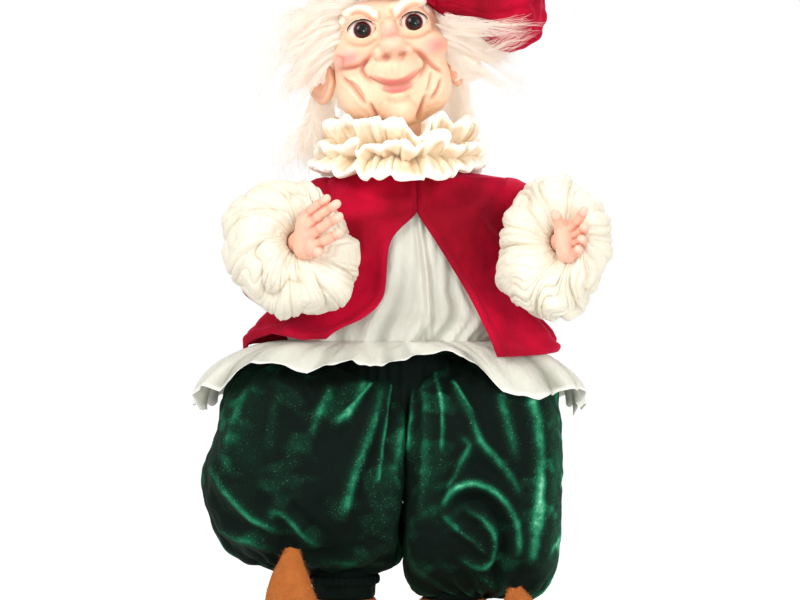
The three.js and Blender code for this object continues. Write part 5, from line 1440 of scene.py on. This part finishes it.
# Painted glints: bright specks in the lit parts of the pile.
painted_glints = math_node(tree, "GREATER_THAN", grain(tree, 1100, 2), 0.66)
painted_glints = math_node(tree, "MULTIPLY", painted_glints, scaled(tree, lit, 0.8))
tone = over(tree, painted_glints, bright, srgb(96, 170, 128))
principled(
    tree, tone, Roughness=0.85, Specular_IOR_Level=0.12, Sheen_Weight=0.08,
    Sheen_Roughness=0.4, Sheen_Tint=srgb(60, 140, 90),
    Normal=bumped(tree, math_node(tree, "ADD", crush, scaled(tree, pile, 0.5)), 0.7),
)


def barrel(middle, radii, sign, outer):
    """Distance to a barrel lying along X, negative inside. Its inner end is square and its outer
    one as round as the power outer makes it."""
    middle, radii = np.array(middle, float), np.array(radii, float)

    def field(points):
        q = (points - middle) / radii
        power = np.where(q[..., 0] * sign > 0, outer, 7)
        long, wide = np.abs(q[..., 0]) + 1e-6, np.hypot(q[..., 1], q[..., 2]) + 1e-6
        far = (long ** power + wide ** power) ** (1 / power)
        steep = wide ** (power - 2) * np.hypot(q[..., 1] / radii[1], q[..., 2] / radii[2])
        slope = np.hypot(long ** (power - 1) / radii[0], steep)
        return (far - 1) * far ** (power - 1) / (slope + 1e-9)

    return field


# Folds across the front of each leg: the line in pixels of the front view, its height (negative
# for a groove), its width and how brightly its pile catches the light.
LEG_FOLDS = {
    "right": [
        ([(210, 469), (229, 496), (251, 519), (275, 530)], 3.6, 4.6, 0.9),
        ([(270, 512), (282, 511), (295, 525), (311, 545), (321, 545)], 3.0, 3.6, 0.6),
        ([(215, 532), (244, 542), (272, 550)], 2.6, 3.8, 0.5),
        ([(364, 379), (356, 404), (346, 417), (333, 424)], 3.2, 4.4, 0.8),
        ([(382, 387), (372, 425), (357, 458), (347, 492), (341, 517)], 4.0, 5.4, 0.7),
        ([(331, 389), (318, 414), (311, 438)], 2.6, 5.0, 0.6),
        ([(404, 395), (400, 440), (396, 490), (386, 545)], 3.4, 4.6, 0.25),
        ([(245, 390), (232, 420), (225, 455)], 2.0, 6.0, 0.5),
        ([(280, 388), (272, 420), (268, 450)], 1.8, 6.0, 0.25),
        ([(300, 560), (330, 566), (365, 558), (395, 540)], 2.6, 3.8, 0.2),
        ([(371, 384), (355, 404), (342, 416)], 2.4, 2.4, 1.0),
        ([(392, 372), (388, 400), (386, 440), (378, 480)], 2.4, 2.6, 0.8),
        ([(402, 380), (400, 420), (392, 470)], 2.2, 2.4, 0.5),
    ],
    "left": [
        ([(456, 391), (471, 417), (480, 442), (497, 461), (512, 479), (520, 493)], 3.6, 4.6, 0.8),
        ([
            (443, 504), (454, 488), (471, 481), (487, 486), (497, 493), (507, 504), (517, 524), (518, 553),
        ], 4.4, 4.4, 1.0),
        ([(446, 507), (471, 494), (490, 497), (502, 520), (502, 553), (494, 583)], -3.6, 3.0, 0.0),
        ([(467, 507), (484, 517), (495, 533), (494, 558), (482, 570), (462, 558)], 2.8, 3.8, 0.7),
        ([(444, 514), (461, 529), (476, 540), (484, 552)], 2.4, 3.4, 0.6),
        ([(462, 437), (471, 447), (462, 461), (449, 488)], 2.4, 3.8, 0.6),
        ([(479, 574), (490, 586), (497, 591)], 2.4, 3.8, 0.5),
        ([(424, 385), (428, 425), (426, 470), (420, 520)], 3.0, 4.6, 0.3),
        ([(530, 392), (540, 440), (540, 500), (532, 560)], 2.6, 6.5, 1.0),
        ([(500, 392), (508, 425), (516, 455)], 2.2, 6.0, 0.7),
        ([(452, 382), (462, 398), (474, 416)], 2.6, 2.4, 1.0),
        ([(410, 372), (412, 410), (408, 450)], 2.4, 2.4, 0.7),
        ([(436, 375), (444, 410), (442, 450)], 2.4, 2.6, 0.7),
    ],
}

for k, (side, leg) in enumerate(BALLOONS.items()):
    half, hip_half = (leg["out"] - leg["inner"]) / 2, (leg["hip_out"] - leg["inner"]) / 2
    middle = leg["sign"] * (leg["inner"] + half)
    low_r = (HIP_Z + 26 - leg["low"]) / 2
    hip_at = (leg["sign"] * (leg["inner"] + hip_half), 0, HIP_Z)
    low_at = (middle, 0, leg["low"] + low_r)
    form = melt(
        8,
        barrel(hip_at, (hip_half, BALLOON_DEPTH, BALLOON_DEPTH), leg["sign"], leg["hip_round"]),
        barrel(low_at, (half, BALLOON_DEPTH + BALLOON_SAG, low_r), leg["sign"], leg["round"]),
    )
    centre = np.array([middle, 0, CENTRE_Z])
    rays, far, _ = shell(centre, form, 100, 420, 300)
    far = far - 0.8
    points = centre + rays * far[..., None]
    front = points[..., [0, 2]]
    facing = np.clip((-points[..., 1] - 4) / 14, 0, 1)
    caught = np.zeros(far.shape)
    for line, height, width, light in LEG_FOLDS[side]:
        away, fade = stroke(front, photo_line(*line), 0.04)
        crest = bell(away, width) - 0.4 * bell(away - 2.0 * width, width)
        far = far + facing * fade * height * crest
        caught = np.maximum(caught, facing * fade * light * bell(away, 0.55 * width))
    angle = np.arctan2(points[..., 1], points[..., 0] - middle)
    behind = 1 - 0.7 * facing
    pulled = np.clip((leg["low"] + 30 - points[..., 2]) / 28, 0, 1)
    waist_pull = np.clip((points[..., 2] - 158) / 25, 0, 1)
    sag = wander(points * (1, 1, 0.45), 34, 110 + k)
    gather = np.sin(15 * angle + 2 * np.sin(3 * angle) + points[..., 2] / 9)
    far = far + behind * (2.4 * sag + 0.7 * wander(points * (1, 1, 0.6), 15, 112 + k))
    far = far + pulled * 1.3 * gather + waist_pull * 1.2 * np.sin(19 * angle + 2 * np.sin(2 * angle))
    far = far + 0.35 * wander(points, 11, 114 + k)
    balloon = skin(f"pantaloon_{side}", centre + rays * far[..., None])
    patches = eased(wander(points, 30, 118 + k) + 0.6 * wander(points, 12, 119 + k), 0.1, 1.4)
    x, z = points[..., 0], points[..., 2]
    toward_lamp = 0.75 * eased(x, 84, 100) + 0.35 * eased(-x, 60, 112) * eased(z, 90, 150)
    ridges = 0.5 * (1 - facing) * eased(sag, 0.2, 1.2)
    ridges = ridges + 0.35 * pulled * eased(gather, 0.3, 1) * (leg["sign"] > 0)
    caught = np.maximum(caught, np.maximum(ridges, toward_lamp * (0.6 + 0.4 * patches)))
    paint_mask(balloon, "lit", caught + 0.3 * patches)
    dressed(balloon, green, "green_velvet", None, f"pants_leg_{side}")
    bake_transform(balloon)

seat_middle = np.array([2.0, 0, 170.0])
seat_form = melt(6, egg(seat_middle, (62, 34, 29)), egg((4, 0, 190), (36, 34, 20)))
seat_rays, seat_far, seat_points = shell(seat_middle, seat_form, 85, 260, 160)
seat_turn = np.arctan2(seat_points[..., 1], seat_points[..., 0] - 2)
seat_far = seat_far - 0.8 + 1.0 * np.sin(26 * seat_turn + 2 * np.sin(3 * seat_turn))
seat_far = seat_far + 0.7 * wander(seat_points, 14, 121)
seat = skin("pantaloon_seat", seat_middle + seat_rays * seat_far[..., None])
dressed(seat, green, "green_velvet", "torso", "pants_seat")

around, across = ring_angles(360), ring_angles(20).T
gathers = 0.45 * np.sin(62 * around + 2 * np.sin(5 * around)) * np.clip(np.cos(across), 0, 1)
band_out = 35.9 + 1.5 * np.cos(across) + gathers
band_z = 201.5 + 4.4 * np.sin(across)
waistband = skin("pantaloon_waistband", round_grid(around, band_out, band_out, band_z, (4, 0)), "loop")
dressed(waistband, green, "green_velvet", "torso", "pants_waistband")


# Lower legs
# Tubes of the same green velvet over the stuffed shin, with the pantaloon's gathered hem pulled
# in round each by an elastic.

SHIN_PROFILE = np.array([
    (16.2, 30), (16.2, 44), (19.4, 47.5), (20.9, 55), (19.6, 62), (17.2, 70), (15.5, 78), (13.5, 86),
])
turn, height = ring_angles(200), np.linspace(30, 86, 90)[None, :]
around, across = ring_angles(360), ring_angles(24).T
for k, (side, leg) in enumerate(BALLOONS.items()):
    crease = 0.5 * np.sin(height / 2.3 + 1.4 * np.sin(2 * turn + k)) * np.clip((height - 44) / 6, 0, 1)
    radius = np.interp(height, SHIN_PROFILE[:, 1], SHIN_PROFILE[:, 0])
    radius = radius - 0.5 + crease + 0.3 * np.sin(9 * turn + height / 7)
    shin = skin(f"shin_velvet_{side}", round_grid(turn, radius, radius, height, (leg["leg"], 0)))
    dressed(shin, green, "green_velvet", f"shin_{side}", f"shin_{side}")

    pucker = 0.4 * np.sin(30 * around + 2 * np.sin(4 * around + k))
    out = 21.6 + (0.7 + pucker) * np.cos(across)
    hem_z = 58 + (2.4 + 0.5 * pucker) * np.sin(across)
    hem = skin(f"pantaloon_hem_{side}", round_grid(around, out, out, hem_z, (leg["leg"], 0)), "loop")
    dressed(hem, green, "green_velvet", f"shin_{side}", f"ankle_band_{side}")


# Shoes
# Slippers of thick tan felt, brushed to a fuzz, that run out into a broad upturned pointed toe.
# Each is sewn to a flat sole of stiff felt.

SHOE_HEEL = 27
SHOE_BALL = 50
# Each toe: how far it is turned out, in degrees, and the height of its tip.
SHOE_TIPS = {"right": (27, 82), "left": (34, 58)}
TOE_CORE_Z = 18
SHOE_SIZES = [(6, 7), (18, 15), (20, 15), (21, 16), (21, 16), (21, 15.5), (18.5, 13.5), (13, 9.5), (4.2, 3.8)]
SHOE_FLOOR = 3.2
# The collar about the ankle, from inside the shoe up, over and down again: place, radius, height.
COLLAR = np.array([
    (0, 18.4, 16), (0.5, 20.2, 40), (0.62, 20.4, 44.6), (0.7, 19.4, 46.4), (0.78, 17.2, 46), (1, 16.6, 40),
])
COLLAR_FUZZ = slice(4, 38)
FUZZ_COUNT = 5200
FUZZ_R = 0.11

felt, tree = new_material("brushed_felt")
tone = over(tree, grain(tree, 150, 5), srgb(196, 112, 52), srgb(146, 70, 28))
tone = over(tree, scaled(tree, grain(tree, 1400, 2), 0.4), tone, srgb(210, 132, 72))
felt_relief = math_node(tree, "ADD", grain(tree, 260, 5), scaled(tree, grain(tree, 1600, 2), 0.4))
principled(
    tree, tone, Roughness=0.95, Specular_IOR_Level=0.1, Sheen_Weight=0.3,
    Sheen_Roughness=0.5, Sheen_Tint=srgb(226, 160, 100), Normal=bumped(tree, felt_relief, 1.6),
)


def through(stops, count):
    """A smooth curve through given points, as count points."""
    stops = np.array(stops, float)
    t = np.linspace(0, len(stops) - 1, count)
    k = np.clip(t.astype(int), 0, len(stops) - 2)
    f = (t - k)[:, None]
    before, after = stops[np.clip(k - 1, 0, None)], stops[np.clip(k + 2, None, len(stops) - 1)]
    a, b = stops[k], stops[k + 1]
    return 0.5 * (2 * a + (b - before) * f + (2 * before - 5 * a + 4 * b - after) * f ** 2
                  + (3 * a - before - 3 * b + after) * f ** 3)


for side, leg in BALLOONS.items():
    turned_out, tip = SHOE_TIPS[side]
    swing = math.radians(turned_out)
    forward = np.array([leg["sign"] * math.sin(swing), -math.cos(swing), 0])
    across_way = np.array([math.cos(swing), leg["sign"] * math.sin(swing), 0])
    ankle = np.array([leg["leg"], 0, 0.0])
    rise = [TOE_CORE_Z + (tip - TOE_CORE_Z) * share for share in (0.14, 0.4, 0.7)]
    spine = [
        (-SHOE_HEEL, 15), (-14, 17), (4, 17), (22, 17), (SHOE_BALL - 12, 19), (SHOE_BALL + 4, rise[0]),
        (SHOE_BALL + 14, rise[1]), (SHOE_BALL + 17, rise[2]), (SHOE_BALL + 14, tip),
    ]
    line = through(spine, 120)
    size = np.clip(through(SHOE_SIZES, 120), 0.6, None)
    points = ankle + forward * line[:, :1] + np.array([0, 0, 1]) * line[:, 1:]
    up_way = np.cross(unit(np.gradient(points, axis=0)), across_way)
    turn = ring_angles(120)[..., None]
    shoe_grid = points + across_way * size[:, :1] * np.cos(turn) + up_way * size[:, 1:] * np.sin(turn)
    shoe_grid[..., 2] += 0.5 * (wander(shoe_grid, 10, 131) + wander(shoe_grid, 4, 132) * 0.5)
    shoe_grid[..., 2] = np.maximum(shoe_grid[..., 2], SHOE_FLOOR)
    shoe = skin(f"shoe_felt_{side}", shoe_grid)
    dressed(shoe, felt, "felt", f"shin_{side}", f"shoe_upper_{side}")

    turn, rim = ring_angles(160), np.linspace(0, 1, 60)[None, :]
    collar_r, collar_z = (np.interp(rim, COLLAR[:, 0], COLLAR[:, k]) for k in (1, 2))
    collar_r = collar_r + 0.35 * wander(round_grid(turn, 20, 20, 30 * rim), 8, 133)
    collar_grid = round_grid(turn, collar_r, collar_r, collar_z, (leg["leg"], 0))
    dressed(skin(f"shoe_collar_{side}", collar_grid, "open"), felt, "felt", f"shin_{side}")

    chance = np.random.default_rng(140 + leg["sign"])
    flat_grid = np.concatenate([shoe_grid.reshape(-1, 3), collar_grid[:, COLLAR_FUZZ].reshape(-1, 3)])
    flat_way = np.concatenate([
        (shoe_grid - points).reshape(-1, 3), round_grid(turn, 1, 1, 0 * rim)[:, COLLAR_FUZZ].reshape(-1, 3),
    ])
    picked = chance.choice(len(flat_grid), FUZZ_COUNT, replace=False)
    root, out_way = flat_grid[picked], flat_way[picked]
    out_way = unit(out_way, 1e-9) + 0.9 * in_ball(chance, FUZZ_COUNT)
    length = chance.uniform(0.6, 1.5, (FUZZ_COUNT, 1, 1))
    t = np.linspace(0, 1, 4)[None, :, None]
    curled = t ** 2 * 0.7 * in_ball(chance, FUZZ_COUNT)[:, None]
    fuzz_lines = root[:, None] + length * (t * out_way[:, None] + curled)
    kept = root[:, 2] > 4
    fuzz = tubes(f"shoe_fuzz_{side}", fuzz_lines[kept], FUZZ_R * (1.1 - np.linspace(0, 1, 4)))
    dressed(fuzz, felt, "felt", f"shin_{side}")


# Inside
# Stuffed calico limbs and body, the bent wires that hold the pose, and the wrist elastics. They
# stay as they were built and only take their cloth, elastic and metal here.

def woven(name, light, dark, threads):
    """Plain cloth of so many threads a metre."""
    made, tree = new_material(name)
    place = row_place(tree)
    warp, weft = (
        node(
            tree, "TexWave", "Fac", setting={"bands_direction": way},
            Vector=place, Scale=threads, Distortion=0.6, Detail=1.0,
        ) for way in "XZ"
    )
    weave = math_node(tree, "MULTIPLY", warp, weft)
    tone = over(tree, weave, srgb(*dark), srgb(*light))
    principled(
        tree, tone, Roughness=0.9, Specular_IOR_Level=0.2, Normal=bumped(tree, weave, 0.2),
    )
    return made


calico = woven("calico", (236, 226, 204), (205, 190, 160), 900)
elastic = woven("elastic_tape", (240, 234, 222), (214, 205, 188), 500)
sole_felt, tree = new_material("sole_felt")
tone = over(tree, grain(tree, 300, 4), srgb(150, 88, 42), srgb(112, 62, 28))
principled(
    tree, tone, Roughness=0.95, Sheen_Weight=0.3, Normal=bumped(tree, grain(tree, 900, 4), 0.6),
)
wire_metal, tree = new_material("armature_wire")
tone = over(tree, grain(tree, 400, 3), srgb(150, 154, 160), srgb(112, 116, 122))
principled(
    tree, tone, Metallic=1.0, Roughness=0.38, Normal=bumped(tree, grain(tree, 1200, 2), 0.05),
)
INSIDE = {"muslin": calico, "elastic": elastic, "sole": sole_felt, "wire": wire_metal}
for part in frame["record"]["subparts"]:
    held = frame["nodes"][part["node"]]
    if part["material_slot"] in INSIDE and not held.hide_render:
        held.data.materials.clear()
        held.data.materials.append(INSIDE[part["material_slot"]])


scene.frame_set(1)
